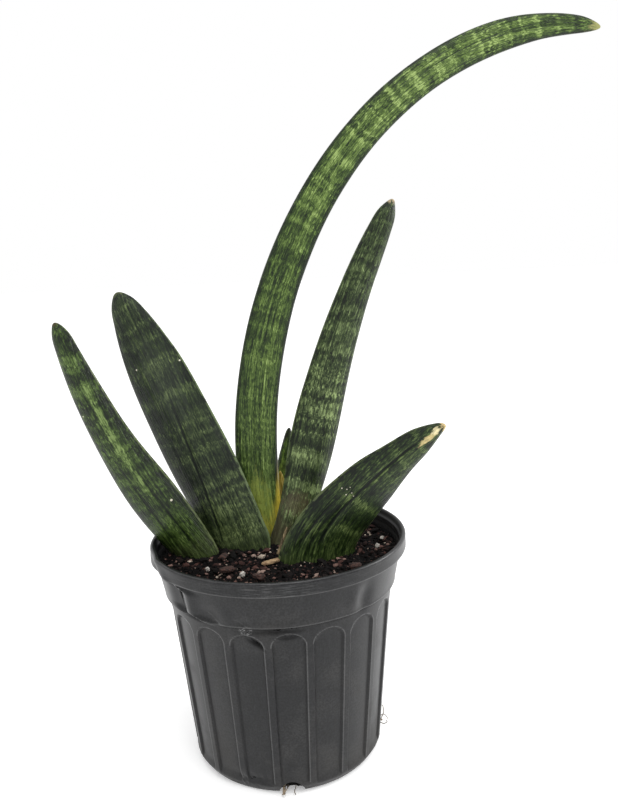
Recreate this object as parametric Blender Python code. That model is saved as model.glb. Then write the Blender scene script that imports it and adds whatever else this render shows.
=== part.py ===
"""Snake plant in a black nursery pot: six leaves on a buried stem, soil and a thin fluted pot.

Metres, +Z up. The origin is the centre of the pot's flat underside. The front is -Y.
"""

import math
import random

import bmesh
import bpy
from mathutils import Vector
from mathutils.noise import noise

MM = 0.001
GAP = 0.3 * MM  # clearance kept between any two pieces
SOCKET_GAP = 0.75 * MM  # the soil stands a little further off the leaves' flat-sided feet

# ---------------------------------------------------------------- the pot
POT_HEIGHT = 135 * MM
RIM_RADIUS = 76 * MM
LIP_HEIGHT = 8 * MM
LIP_STEP = 3 * MM  # how far the lip stands out from the collar under it
LEDGE_Z = 107 * MM  # lower edge of the collar
LEDGE_RADIUS = 68.5 * MM
WALL_TOP_RADIUS = 67.1 * MM  # wall just under the ledge
WALL_FOOT_RADIUS = 57.5 * MM
BASE_RADIUS = 53.6 * MM
CORNER_HEIGHT = 5.5 * MM
WALL = 1.1 * MM
FLUTES = 18
FLUTE_PITCH = 360 / FLUTES
FRONT_FLUTE = -88.0  # azimuth of the flute that faces the front
FLUTE_DEPTH = 1.3 * MM
FLUTE_TOP = 101.6 * MM  # crown of each flute's arch
FLUTE_SHOULDER = 94.5 * MM  # where the arch meets its straight sides
HOLE_RADIUS = 7.2 * MM
HOLE_AXIS_Z = 0.5 * MM
FIRST_HOLE = -90  # one drain hole faces the front, the others are a quarter turn apart
HOLES = 4

# ---------------------------------------------------------------- the soil
SOIL_TOP = 124 * MM
SOIL_SIDES = 32
SOIL_ROUGHNESS = 0.9 * MM
RECESS_RADIUS = 9 * MM  # hollow that the soil leaves behind each drain hole

# ---------------------------------------------------------------- the plant
STUB_DEPTH = 22 * MM  # how far a leaf's foot goes down to the buried stem
STEM_RADIUS = 7.6 * MM
LEAF_SIDES = 12
LEAN_STATIONS = (0, 1 / 3, 2 / 3, 1)
WIDTH_STATIONS = (0, 0.12, 0.3, 0.5, 0.7, 0.85, 0.95)

# foot: where the leaf's middle line meets the soil. heading: the way it leans, in degrees
# from +X. leans: degrees from upright at four equal stations. widths: at WIDTH_STATIONS.
# thick: at the foot and near the tip. face: azimuth of the broad outer face, foot and tip.
# bow: how far the margins curl back from the middle, as a share of the thickness.
LEAVES = {
    "leaf_far_left": {
        "foot": (-50, 1), "heading": 192, "leans": (31, 29.5, 22, 16), "length": 160,
        "widths": (26.5, 30, 30.5, 24.5, 19, 14.5, 10.5), "thick": (10, 5), "face": (-105, -95),
        "bow": 0.25, "rings": 18, "colour": (0.045, 0.10, 0.035),
    },
    "leaf_left": {
        "foot": (-24.5, 9), "heading": 165, "leans": (18, 23.5, 23, 25), "length": 170.5,
        "widths": (41, 41, 42.5, 40.5, 35.5, 26, 16), "thick": (12, 5.5), "face": (-112, -92),
        "bow": 0.25, "rings": 20, "colour": (0.025, 0.055, 0.032),
    },
    "leaf_arching": {
        "foot": (-7, 28), "heading": 5, "leans": (-9, 17.5, 50, 98.5), "length": 428,
        "widths": (24, 26, 25, 22, 20, 18, 12), "thick": (12, 7), "face": (-90, -85),
        "bow": -0.15, "rings": 34, "colour": (0.055, 0.12, 0.035),
    },
    "leaf_upright": {
        "foot": (5, 10), "heading": 15, "leans": (23.5, 15.5, 22.5, 27.5), "length": 219,
        "widths": (21.5, 23, 28, 25, 20, 16.5, 12), "thick": (11, 6), "face": (-86, -90),
        "bow": 0.2, "rings": 22, "colour": (0.04, 0.075, 0.04),
    },
    "leaf_right": {
        "foot": (26.5, -16), "heading": -8, "leans": (8, 41, 49, 62), "length": 107.5,
        "widths": (42, 39, 37, 31.5, 22, 16, 8), "thick": (12, 4), "face": (-70, -88),
        "bow": 0.25, "rings": 18, "colour": (0.035, 0.08, 0.03),
    },
    "new_shoot": {
        "foot": (1.5, 43), "heading": 0, "leans": (5, 7, 9, 11), "length": 66,
        "widths": (10, 12, 13, 11.5, 8.5, 6, 4), "thick": (8, 3), "face": (-95, -95),
        "bow": 0.1, "rings": 12, "colour": (0.13, 0.22, 0.05),
    },
}

# The buried stem runs under the feet in this order, with a side branch to two of them.
STEM_RUN = ("leaf_far_left", "leaf_left", "leaf_upright", "leaf_right")
STEM_BRANCH = ("leaf_upright", "leaf_arching", "new_shoot")

# The yellow sheath wraps the arching leaf's foot: its oval section, and how far round it goes.
SHEATH_HALF_WIDTH = 16.5 * MM
SHEATH_HALF_DEPTH = 9.8 * MM
SHEATH_SHIFT = 2.5 * MM
SHEATH_THICK = 1.6 * MM
SHEATH_DEPTH = 6 * MM  # below the soil
SHEATH_HEIGHT = 42 * MM  # above it
SHEATH_FROM = -28
SHEATH_TO = 196

# Dry papery scales: foot, heading, lean, length, width.
SCALES = {
    "dry_scale_low": ((-1, -8.5), 0, 21, 18, 5.5),
    "dry_scale_high": ((4.5, -11.5), 0, 33, 31, 4.5),
}
SCALE_THICK = 1.0 * MM
SCALE_DEPTH = 4 * MM

# Loose pieces lying on the soil: middle, size, turn in degrees.
BARK = {
    "bark_chip_1": ((-30, -33), (9, 5, 2.6), 25),
    "bark_chip_2": ((-12, -46), (7, 4, 2.4), -40),
    "bark_chip_3": ((-33, -12), (8, 4, 2.2), 70),
    "bark_chip_4": ((42, -38), (7, 5, 2.6), 10),
    "bark_chip_5": ((24, 54), (9, 5, 3.0), -20),
    "bark_chip_6": ((-28, 50), (8, 5, 2.6), 35),
    "wood_splinter": ((-5, -25), (13, 3.6, 1.8), 32),
}
PERLITE = {
    "perlite_1": ((-21, -43), 2.0),
    "perlite_2": ((-52, 24), 1.8),
    "perlite_3": ((58, -12), 1.7),
    "perlite_4": ((63, 3), 1.5),
    "perlite_5": ((40, 32), 1.9),
    "perlite_6": ((-41, -30), 1.6),
}

ROOTS = {
    "root_front": (FIRST_HOLE - 4.6, "leaf_upright", 1.3 * MM),
    "root_right": (FIRST_HOLE + 94.6, "leaf_right", 1.1 * MM),
}


# ---------------------------------------------------------------- general helpers
def clear_scene():
    for thing in list(bpy.data.objects):
        bpy.data.objects.remove(thing)


def material(name, colour, roughness):
    made = bpy.data.materials.new(name)
    made.use_nodes = True
    shader = made.node_tree.nodes["Principled BSDF"]
    shader.inputs["Base Color"].default_value = (*colour, 1)
    shader.inputs["Roughness"].default_value = roughness
    shader.inputs["Metallic"].default_value = 0
    return made


def object_from(bm, name, colour=None, roughness=0.6):
    bmesh.ops.recalc_face_normals(bm, faces=bm.faces)
    mesh = bpy.data.meshes.new(name)
    bm.to_mesh(mesh)
    bm.free()
    mesh.shade_smooth()
    mesh.set_sharp_from_angle(angle=math.radians(40))
    thing = bpy.data.objects.new(name, mesh)
    bpy.context.scene.collection.objects.link(thing)
    if colour is not None:
        mesh.materials.append(material(name, colour, roughness))
    return thing


def loft(rings, start=None, end=None):
    """A closed skin through the rings, each end closed by a point or by a flat face."""
    bm = bmesh.new()
    rows = [[bm.verts.new(point) for point in ring] for ring in rings]
    count = len(rows[0])
    for low, high in zip(rows, rows[1:]):
        for i in range(count):
            j = (i + 1) % count
            bm.faces.new((low[i], low[j], high[j], high[i]))
    for row, tip in ((rows[0], start), (rows[-1], end)):
        if tip is None:
            bm.faces.new(row)
            continue
        point = bm.verts.new(tip)
        for i in range(count):
            bm.faces.new((row[i], row[(i + 1) % count], point))
    return bm


def cut(thing, cutter):
    """Take the cutter's shape out of the thing."""
    cutter.hide_render = True
    cutter.display_type = "WIRE"
    modifier = thing.modifiers.new(cutter.name, "BOOLEAN")
    modifier.operation = "DIFFERENCE"
    modifier.solver = "EXACT"
    modifier.object = cutter


def smooth_between(stations, values, t):
    """A smooth curve through the values, read at t."""
    stations = list(stations)
    if t <= stations[0]:
        return values[0]
    if t >= stations[-1]:
        return values[-1]
    k = max(i for i in range(len(stations) - 1) if stations[i] <= t)
    step = stations[k + 1] - stations[k]
    u = (t - stations[k]) / step

    def slope(i):
        a = max(i - 1, 0)
        b = min(i + 1, len(values) - 1)
        return (values[b] - values[a]) / (stations[b] - stations[a])

    m0 = slope(k) * step
    m1 = slope(k + 1) * step
    h1 = 2 * u**3 - 3 * u**2 + 1
    h2 = u**3 - 2 * u**2 + u
    h3 = -2 * u**3 + 3 * u**2
    h4 = u**3 - u**2
    return h1 * values[k] + h2 * m0 + h3 * values[k + 1] + h4 * m1


def cubic_through(stations, values, t):
    """The single cubic through four values, read at t."""
    total = 0.0
    for i, value in enumerate(values):
        term = value
        for j, station in enumerate(stations):
            if j != i:
                term *= (t - station) / (stations[i] - station)
        total += term
    return total


def unit(azimuth):
    return Vector((math.cos(math.radians(azimuth)), math.sin(math.radians(azimuth)), 0))


def mix(a, b, t):
    return a + (b - a) * t


# ---------------------------------------------------------------- pot and soil
def flute_columns():
    """Azimuths round the pot: each flute has two ribs' edges, two sides and a middle."""
    shares = (-0.42, -0.33, 0, 0.33, 0.42)
    for k in range(FLUTES):
        for share in shares:
            yield FRONT_FLUTE + (k + share) * FLUTE_PITCH, abs(share)


def flute_depth(share, z):
    """How far the wall is set in, at this share of the pitch from the flute's middle."""
    if share > 0.4:
        return 0.0
    crown = FLUTE_TOP if share < 0.1 else FLUTE_SHOULDER
    into = max(0.0, min(1.0, (crown - z) / (3 * MM)))
    foot = max(0.0, min(1.0, (z - 3 * MM) / (6 * MM)))
    return FLUTE_DEPTH * into * foot


def wall_radius(z):
    share = (z - CORNER_HEIGHT) / (LEDGE_Z - CORNER_HEIGHT)
    return mix(WALL_FOOT_RADIUS, WALL_TOP_RADIUS, share)


def outer_profile():
    """The pot's outside, from the middle of the base up to the top of the lip."""
    collar_top = POT_HEIGHT - LIP_HEIGHT
    collar_radius = RIM_RADIUS - LIP_STEP
    points = [(30 * MM, 0.0), (BASE_RADIUS, 0.0)]
    points += [(wall_radius(z * MM), z * MM) for z in (5.5, 12, 50, 86, 91, 95, 98.5, 102.5)]
    points += [(WALL_TOP_RADIUS, LEDGE_Z - 0.6 * MM), (LEDGE_RADIUS, LEDGE_Z)]
    points += [(mix(LEDGE_RADIUS, collar_radius, 0.5), mix(LEDGE_Z, collar_top, 0.5))]
    points += [(collar_radius, collar_top), (RIM_RADIUS - 0.6 * MM, collar_top)]
    points += [(RIM_RADIUS, collar_top + 0.8 * MM), (RIM_RADIUS, POT_HEIGHT - 0.7 * MM)]
    points += [(RIM_RADIUS - 0.7 * MM, POT_HEIGHT)]
    return points


def inner_profile():
    """The pot's inside, from the top of the lip down to the middle of the floor."""
    collar_top = POT_HEIGHT - LIP_HEIGHT
    collar_radius = RIM_RADIUS - LIP_STEP - WALL
    ledge_radius = LEDGE_RADIUS - WALL
    points = [(RIM_RADIUS - 2.1 * MM, POT_HEIGHT), (RIM_RADIUS - 2.7 * MM, POT_HEIGHT - 0.8 * MM)]
    points += [(collar_radius, collar_top - 0.3 * MM)]
    points += [(mix(ledge_radius, collar_radius, 0.5), mix(LEDGE_Z, collar_top, 0.5))]
    points += [(ledge_radius, LEDGE_Z + 0.9 * MM), (WALL_TOP_RADIUS - WALL, LEDGE_Z - 1 * MM)]
    heights = (102.5, 98.5, 95, 91, 86, 50, 12, 6)
    points += [(wall_radius(z * MM) - WALL, z * MM) for z in heights]
    points += [(BASE_RADIUS - 0.8 * MM, 1.2 * MM), (30 * MM, 1.2 * MM)]
    return points


def make_pot():
    columns = list(flute_columns())
    rings = []
    for radius, z in outer_profile() + inner_profile():
        ring = []
        for azimuth, share in columns:
            inset = flute_depth(share, z) if z < LEDGE_Z - 3 * MM else 0.0
            ring.append(unit(azimuth) * (radius - inset) + Vector((0, 0, z)))
        rings.append(ring)
    bm = loft(rings, start=(0, 0, 0), end=(0, 0, 1.2 * MM))
    return object_from(bm, "pot", (0.016, 0.017, 0.018), 0.45)


def hole_cutter(name, azimuth, radius, reach_from):
    """A short bar along the radius, through the corner of the base."""
    bm = bmesh.new()
    bmesh.ops.create_cone(
        bm, cap_ends=True, segments=16, radius1=radius, radius2=radius, depth=20 * MM
    )
    bar = object_from(bm, name)
    middle = unit(azimuth) * (reach_from + 10 * MM)
    bar.location = (middle.x, middle.y, HOLE_AXIS_Z)
    bar.rotation_euler = (0, math.radians(90), math.radians(azimuth))
    return bar


def soil_height(x, y):
    """The uneven top of the soil, a little higher in the middle."""
    far = math.hypot(x, y) / (70 * MM)
    lumps = noise(Vector((x, y, 0)) * 45) * SOIL_ROUGHNESS
    return SOIL_TOP + 1.2 * MM * (1 - far * far) + lumps


def make_soil():
    # below the collar the plug stays inside the flutes, in the collar it fills the width
    flute_clear = WALL + FLUTE_DEPTH + GAP
    profile = [(30 * MM, 1.5 * MM), (BASE_RADIUS - 2 * MM, 1.5 * MM)]
    profile += [(wall_radius(z * MM) - flute_clear, z * MM) for z in (7, 50, 100)]
    profile += [(WALL_TOP_RADIUS - WALL - 2 * GAP, 105.6 * MM)]
    profile += [(LEDGE_RADIUS - WALL - 2 * GAP, 108.4 * MM)]
    rings = []
    for radius, z in profile:
        ring = [unit(i * 360 / SOIL_SIDES) * radius for i in range(SOIL_SIDES)]
        rings.append([point + Vector((0, 0, z)) for point in ring])
    for radius in (70.0, 58, 45, 32, 19, 8):
        ring = [unit(i * 360 / SOIL_SIDES) * radius * MM for i in range(SOIL_SIDES)]
        rings.append([Vector((p.x, p.y, soil_height(p.x, p.y))) for p in ring])
    top = Vector((0, 0, soil_height(0, 0)))
    bm = loft(rings, start=(0, 0, 1.5 * MM), end=top)
    return object_from(bm, "soil", (0.022, 0.012, 0.008), 0.95)


# ---------------------------------------------------------------- leaves
def leaf_line(leaf):
    """Points and shares along a leaf: the buried stub first, then the blade."""
    foot = Vector((leaf["foot"][0] * MM, leaf["foot"][1] * MM, SOIL_TOP))
    way = unit(leaf["heading"])
    length = leaf["length"] * MM
    count = leaf["rings"]
    slope = math.tan(math.radians(leaf["leans"][0]))
    line = []
    for depth in (22, 17, 11, 5):
        depth *= MM
        back = slope * (depth - depth * depth / (2 * STUB_DEPTH))
        line.append((foot - way * back - Vector((0, 0, depth)), -depth / length))
    fine = 20
    point = foot.copy()
    line.append((point.copy(), 0.0))
    for i in range(count * fine):
        t = (i + 0.5) / (count * fine)
        lean = math.radians(cubic_through(LEAN_STATIONS, leaf["leans"], t))
        step = way * math.sin(lean) + Vector((0, 0, math.cos(lean)))
        point += step * (length / (count * fine))
        if (i + 1) % fine == 0:
            line.append((point.copy(), (i + 1) / (count * fine)))
    return line


def leaf_width(leaf, t):
    if t < 0:
        depth = -t * leaf["length"] * MM / STUB_DEPTH
        return mix(leaf["widths"][0], 9.0, depth**1.5) * MM
    stations = WIDTH_STATIONS + (1.0,)
    widths = leaf["widths"] + (leaf["widths"][-1] * 0.62,)
    width = smooth_between(stations, widths, t)
    close = min(1.0, (1 - t) / 0.05)
    return width * math.sqrt(max(0.0, 1 - (1 - close) ** 2)) * MM


def leaf_thickness(leaf, t):
    foot, tip = leaf["thick"]
    if t < 0:
        depth = -t * leaf["length"] * MM / STUB_DEPTH
        return mix(foot, min(foot, 9.0), depth) * MM
    close = min(1.0, (1 - t) / 0.08)
    return mix(foot, tip, t) * math.sqrt(max(0.0, 1 - (1 - close) ** 2)) * MM


def leaf_rings(leaf, grow=0.0):
    """Rings along the leaf, each a thick lens whose margins curl away from its outer face."""
    line = leaf_line(leaf)
    shares = [t for _, t in line]
    points = [p for p, _ in line]
    tip = points[-1]
    # the last ring sits just short of the tip, where the leaf is blunt
    shares[-1] = 1 - 0.25 / leaf["rings"]
    points[-1] = points[-2].lerp(tip, 0.75)
    rings = []
    for k, (point, t) in enumerate(zip(points, shares)):
        before = points[max(k - 1, 0)]
        after = points[k + 1] if k + 1 < len(points) else tip
        along = (after - before).normalized()
        outward = unit(mix(leaf["face"][0], leaf["face"][1], max(0.0, min(1.0, t))))
        across = along.cross(outward).normalized()
        outward = across.cross(along).normalized()
        half = leaf_width(leaf, t) / 2 + grow
        thick = leaf_thickness(leaf, t) / 2 + grow
        bow = leaf["bow"] * leaf_thickness(leaf, t)
        if t < 0:
            bow *= 1 + t * leaf["length"] * MM / STUB_DEPTH
        ring = []
        for i in range(LEAF_SIDES):
            turn = 2 * math.pi * i / LEAF_SIDES
            side = math.cos(turn) * half
            out = math.sin(turn) * thick - bow * math.cos(turn) ** 2
            ring.append(point + across * side + outward * out)
        rings.append(ring)
    if grow:
        # the socket reaches a little way into the stem's own cavity
        rings.insert(0, [p - Vector((0, 0, 1 * MM)) for p in rings[0]])
    return rings, tip


def make_leaf(name, leaf):
    rings, tip = leaf_rings(leaf)
    return object_from(loft(rings, end=tip), name, leaf["colour"], 0.42)


def leaf_socket(name, leaf):
    """The leaf's buried part a little larger, and just enough blade to clear the soil."""
    rings, _ = leaf_rings(leaf, grow=SOCKET_GAP)
    reach = 5
    while min(p.z for p in rings[reach]) < SOIL_TOP + 4 * MM:
        reach += 1
    return object_from(loft(rings[: reach + 1]), "socket_" + name)


# ---------------------------------------------------------------- buried stem and roots
def stub_end(name):
    return leaf_line(LEAVES[name])[0][0]


def curve_through(points, per_span):
    """Points along a smooth curve through the given ones."""
    out = []
    for k in range(len(points) - 1):
        a = points[max(k - 1, 0)]
        b = points[k]
        c = points[k + 1]
        d = points[min(k + 2, len(points) - 1)]
        for i in range(per_span):
            u = i / per_span
            part = (2 * b) + (c - a) * u + (2 * a - 5 * b + 4 * c - d) * u * u
            part += (3 * b - a - 3 * c + d) * u**3
            out.append(part * 0.5)
    out.append(points[-1].copy())
    return out


def tube(points, radii, sides):
    """A round skin along the points, closed by a point just past each end."""
    rings = []
    side = None
    for k, point in enumerate(points):
        along = points[min(k + 1, len(points) - 1)] - points[max(k - 1, 0)]
        along.normalize()
        if side is None:
            side = along.orthogonal().normalized()
        side = (side - along * side.dot(along)).normalized()
        other = along.cross(side)
        ring = []
        for i in range(sides):
            turn = 2 * math.pi * i / sides
            ring.append(point + (side * math.cos(turn) + other * math.sin(turn)) * radii[k])
        rings.append(ring)
    start = points[0] + (points[0] - points[1]).normalized() * radii[0] * 0.6
    end = points[-1] + (points[-1] - points[-2]).normalized() * radii[-1] * 0.6
    return loft(rings, start=start, end=end)


def stem_path(names, overshoot):
    drop = Vector((0, 0, STEM_RADIUS))
    points = [stub_end(name) - drop for name in names]
    if overshoot[0]:
        points.insert(0, points[0] + (points[0] - points[1]).normalized() * overshoot[0])
    else:
        # the branch starts inside the main run
        points[0] -= Vector((0, 0, 2.5 * MM))
    points.append(points[-1] + (points[-1] - points[-2]).normalized() * overshoot[1])
    return curve_through(points, 4)


def make_stem(name, grow=0.0, colour=None):
    run = stem_path(STEM_RUN, (8 * MM, 9 * MM))
    branch = stem_path(STEM_BRANCH, (0, 7 * MM))
    pieces = []
    for label, path in (("run", run), ("branch", branch)):
        last = len(path) - 1
        radii = []
        for k in range(len(path)):
            round_off = 0.7 if k in (0, last) else 1.0
            radii.append((STEM_RADIUS - GAP) * round_off + grow)
        radii[0] = radii[0] * (0.55 if label == "branch" else 1)
        pieces.append(object_from(tube(path, radii, 12), name + "_" + label))
    run_piece, branch_piece = pieces
    run_piece.name = name
    join = run_piece.modifiers.new("branch", "BOOLEAN")
    join.operation = "UNION"
    join.solver = "EXACT"
    join.object = branch_piece
    branch_piece.hide_render = True
    branch_piece.display_type = "WIRE"
    if colour is not None:
        run_piece.data.materials.append(material(name, colour, 0.7))
    return run_piece


def root_path(azimuth, start, radius):
    """From under the stem down through the soil and out of a drain hole."""
    out = unit(azimuth)
    begin = stub_end(start) - Vector((0, 0, 2 * STEM_RADIUS + radius + 3 * GAP))
    points = [
        begin,
        begin.lerp(out * 30 * MM + Vector((0, 0, 50 * MM)), 0.5) + Vector((3 * MM, 0, 0)),
        out * 34 * MM + Vector((-2 * MM, 0, 36 * MM)),
        out * 47 * MM + Vector((0, 0, 10 * MM)),
        out * 56.5 * MM + Vector((0, 0, 4.2 * MM)),
        out * 60 * MM + Vector((0, 0, 2.8 * MM)),
    ]
    return curve_through(points, 3)


def make_root(name, grow=0.0, colour=None):
    azimuth, start, radius = ROOTS[name]
    path = root_path(azimuth, start, radius)
    last = len(path) - 1
    radii = [radius * mix(1, 0.6, k / last) + grow for k in range(last + 1)]
    label = name if colour is not None else "channel_" + name
    return object_from(tube(path, radii, 6), label, colour, 0.7)


# ---------------------------------------------------------------- sheath and dry scales
def sheath_rings(grow=0.0):
    """Rings of a thin wall that goes round the back and both sides of the arching leaf."""
    leaf = LEAVES["leaf_arching"]
    way = unit(leaf["heading"])
    foot = Vector((leaf["foot"][0] * MM, leaf["foot"][1] * MM, SOIL_TOP))
    levels = (-6, 0, 7, 14, 21, 28, 34, 39, 42)
    steps = 12
    rings = []
    for level in levels:
        lean = cubic_through(LEAN_STATIONS, leaf["leans"], max(0, level) * 0.5 / leaf["length"])
        middle = foot + way * math.tan(math.radians(lean)) * level * MM
        middle += Vector((SHEATH_SHIFT, 0, level * MM))
        up = max(0.0, level / 42)
        # the wall's upper edge slopes down to the left, and its corners are rounded
        turn_from = mix(SHEATH_FROM, -8, up**2)
        turn_to = mix(SHEATH_TO, 168, up**3)
        if grow:
            turn_from -= 3.3
            turn_to += 3.3
        thick = SHEATH_THICK * (1 if level < 36 else 0.6) / 2 + grow
        widen = 1 + 0.05 * math.sin(up * math.pi)
        ring = []
        for side in (1, -1):
            for i in range(steps + 1):
                share = i / steps if side == 1 else 1 - i / steps
                turn = math.radians(mix(turn_from, turn_to, share))
                cosine = math.cos(turn)
                sine = math.sin(turn)
                base = Vector(
                    (SHEATH_HALF_WIDTH * widen * cosine, SHEATH_HALF_DEPTH * widen * sine, 0)
                )
                normal = Vector(
                    (SHEATH_HALF_DEPTH * cosine, SHEATH_HALF_WIDTH * sine, 0)
                ).normalized()
                taper = 0.45 + 0.55 * math.sin(math.pi * share)
                ring.append(middle + base + normal * (side * (thick - grow) * taper + side * grow))
        rings.append(ring)
    if grow:
        rings[0] = [p + Vector((0, 0, -grow)) for p in rings[0]]
    return rings


def scale_rings(row, grow=0.0):
    (x, y), heading, lean, length, width = row
    way = unit(heading)
    foot = Vector((x * MM, y * MM, SOIL_TOP))
    slope = math.radians(lean)
    along = way * math.sin(slope) + Vector((0, 0, math.cos(slope)))
    across = way * math.cos(slope) - Vector((0, 0, math.sin(slope)))
    rings = []
    for share in (0, 0.25, 0.5, 0.7, 0.85, 0.97):
        point = foot + along * mix(-SCALE_DEPTH, length * MM, share)
        half = width * MM / 2 * math.sqrt(1 - share**3) + grow
        thick = SCALE_THICK / 2 * (1 - 0.5 * share) + grow
        ring = []
        for i in range(8):
            turn = 2 * math.pi * i / 8
            out = math.sin(turn) * thick - 0.8 * MM * math.cos(turn) ** 2
            ring.append(point + across * math.cos(turn) * half + Vector((0, -out, 0)))
        rings.append(ring)
    if grow:
        rings[0] = [p - along * grow for p in rings[0]]
    tip = foot + along * length * MM
    return rings, tip


# ---------------------------------------------------------------- loose pieces on the soil
def resting_height(x, y, reach):
    """The soil's highest point near here."""
    spots = [(0, 0)] + [(math.cos(k) * reach, math.sin(k) * reach) for k in range(6)]
    return max(soil_height(x + dx, y + dy) for dx, dy in spots)


def make_bark(name, row):
    (x, y), size, turn = row
    rng = random.Random(name)
    bm = bmesh.new()
    bmesh.ops.create_cube(bm, size=1)
    for vert in bm.verts:
        for axis in range(3):
            vert.co[axis] *= size[axis] * MM * rng.uniform(0.72, 1.0)
    bmesh.ops.bevel(
        bm, geom=bm.edges[:], offset=0.35 * MM, segments=1, affect="EDGES", profile=0.5
    )
    pale = name == "wood_splinter"
    thing = object_from(bm, name, (0.35, 0.24, 0.13) if pale else (0.09, 0.035, 0.02), 0.85)
    reach = size[0] * MM / 2
    top = resting_height(x * MM, y * MM, reach)
    thing.location = (x * MM, y * MM, top + size[2] * MM / 2 + 2 * GAP)
    thing.rotation_euler = (0, 0, math.radians(turn))
    return thing


def make_perlite(name, row):
    (x, y), radius = row
    rng = random.Random(name)
    bm = bmesh.new()
    bmesh.ops.create_icosphere(bm, subdivisions=1, radius=radius * MM)
    for vert in bm.verts:
        vert.co *= rng.uniform(0.8, 1.0)
    thing = object_from(bm, name, (0.72, 0.68, 0.60), 0.9)
    top = resting_height(x * MM, y * MM, radius * MM)
    thing.location = (x * MM, y * MM, top + radius * MM + 2 * GAP)
    return thing


# ---------------------------------------------------------------- the whole plant
def main():
    clear_scene()
    pot = make_pot()
    soil = make_soil()
    for k in range(HOLES):
        azimuth = FIRST_HOLE + k * 360 / HOLES
        cut(pot, hole_cutter(f"drain_hole_{k + 1}", azimuth, HOLE_RADIUS, 46 * MM))
        cut(soil, hole_cutter(f"drain_recess_{k + 1}", azimuth, RECESS_RADIUS, 47 * MM))

    for name, leaf in LEAVES.items():
        make_leaf(name, leaf)
        cut(soil, leaf_socket(name, leaf))

    make_stem("rhizome", colour=(0.55, 0.38, 0.16))
    cut(soil, make_stem("stem_cavity", grow=SOCKET_GAP))
    for name in ROOTS:
        make_root(name, colour=(0.50, 0.36, 0.20))
        cut(soil, make_root(name, grow=2 * GAP))

    object_from(loft(sheath_rings()), "yellow_sheath", (0.62, 0.48, 0.05), 0.5)
    cut(soil, object_from(loft(sheath_rings(SOCKET_GAP)), "socket_sheath"))
    for name, row in SCALES.items():
        rings, tip = scale_rings(row)
        object_from(loft(rings, end=tip), name, (0.50, 0.38, 0.20), 0.8)
        rings, tip = scale_rings(row, SOCKET_GAP)
        cut(soil, object_from(loft(rings, end=tip), "socket_" + name))

    # clean triangles where the cuts left many-sided faces
    soil.modifiers.new("triangles", "TRIANGULATE")

    for name, row in BARK.items():
        make_bark(name, row)
    for name, row in PERLITE.items():
        make_perlite(name, row)


main()
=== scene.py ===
# %% [markdown]
# # A potted snake plant
# A young cylindrical snake plant stands in a thin dark nursery pot: five stiff leaves and one new
# shoot, a yellow papery sheath, two dry scales, soil with bits of bark and perlite, and a pot with
# pressed flutes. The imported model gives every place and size, and this lesson builds the looks
# around it, one piece at a time.

# %% Load the frame
import math

import bmesh
import bpy
import numpy as np
from mathutils import Matrix, Vector, noise


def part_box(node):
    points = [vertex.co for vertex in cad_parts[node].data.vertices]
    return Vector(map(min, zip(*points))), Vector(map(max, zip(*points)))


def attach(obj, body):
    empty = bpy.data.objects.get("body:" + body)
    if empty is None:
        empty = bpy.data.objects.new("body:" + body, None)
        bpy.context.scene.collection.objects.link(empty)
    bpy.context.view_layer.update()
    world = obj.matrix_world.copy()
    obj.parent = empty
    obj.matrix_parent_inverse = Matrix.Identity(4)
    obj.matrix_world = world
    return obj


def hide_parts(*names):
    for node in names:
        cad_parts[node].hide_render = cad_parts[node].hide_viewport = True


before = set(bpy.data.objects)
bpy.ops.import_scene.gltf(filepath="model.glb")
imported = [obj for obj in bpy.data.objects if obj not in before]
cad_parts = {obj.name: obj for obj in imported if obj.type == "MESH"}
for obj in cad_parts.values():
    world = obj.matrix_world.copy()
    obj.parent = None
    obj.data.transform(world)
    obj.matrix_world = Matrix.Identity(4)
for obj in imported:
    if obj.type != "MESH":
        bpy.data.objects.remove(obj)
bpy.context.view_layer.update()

MM = 0.001
pot_low, pot_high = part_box("pot")
RIM_RADIUS = (pot_high.x - pot_low.x) / 2 / MM
SOIL_TOP = 124 * MM
print("pot height", round(pot_high.z / MM, 1), "rim radius", round(RIM_RADIUS, 1))

# %% [markdown]
# ## Working by hand, in code
# An operator acts on whatever is selected, so each step first clears the selection. `take` makes
# one object the only selected one, `edit` opens it in edit mode with chosen parts selected, and
# `apply` turns a modifier into real mesh.


# %% Selection helpers
def deselect():
    if bpy.context.object is not None and bpy.context.object.mode != "OBJECT":
        bpy.ops.object.mode_set(mode="OBJECT")
    bpy.ops.object.select_all(action="DESELECT")


def take(thing):
    deselect()
    thing.select_set(True)
    bpy.context.view_layer.objects.active = thing
    return thing


def edit(thing, mode="VERT"):
    take(thing)
    bpy.ops.object.mode_set(mode="EDIT")
    bpy.ops.mesh.select_mode(type=mode)
    bpy.ops.mesh.select_all(action="DESELECT")
    return bmesh.from_edit_mesh(thing.data)


def pick(thing, kind, test):
    """In edit mode, select only the verts, edges or faces that pass the test."""
    bm = edit(thing, {"verts": "VERT", "edges": "EDGE", "faces": "FACE"}[kind])
    for part in getattr(bm, kind):
        part.select = bool(test(part))
    bm.select_flush_mode()
    bmesh.update_edit_mesh(thing.data)


def named(name):
    """The object that an add operator has just made, under its own name."""
    thing = bpy.context.object
    thing.name = thing.data.name = name
    return thing


def apply(thing, kind, **settings):
    take(thing)
    modifier = thing.modifiers.new(kind.lower(), kind)
    for key, value in settings.items():
        setattr(modifier, key, value)
    bpy.ops.object.modifier_apply(modifier=modifier.name)


def get_points(thing):
    co = np.empty(len(thing.data.vertices) * 3)
    thing.data.vertices.foreach_get("co", co)
    return co.reshape(-1, 3)


def set_points(thing, points):
    thing.data.vertices.foreach_set("co", np.asarray(points, float).ravel())
    thing.data.update()


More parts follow.
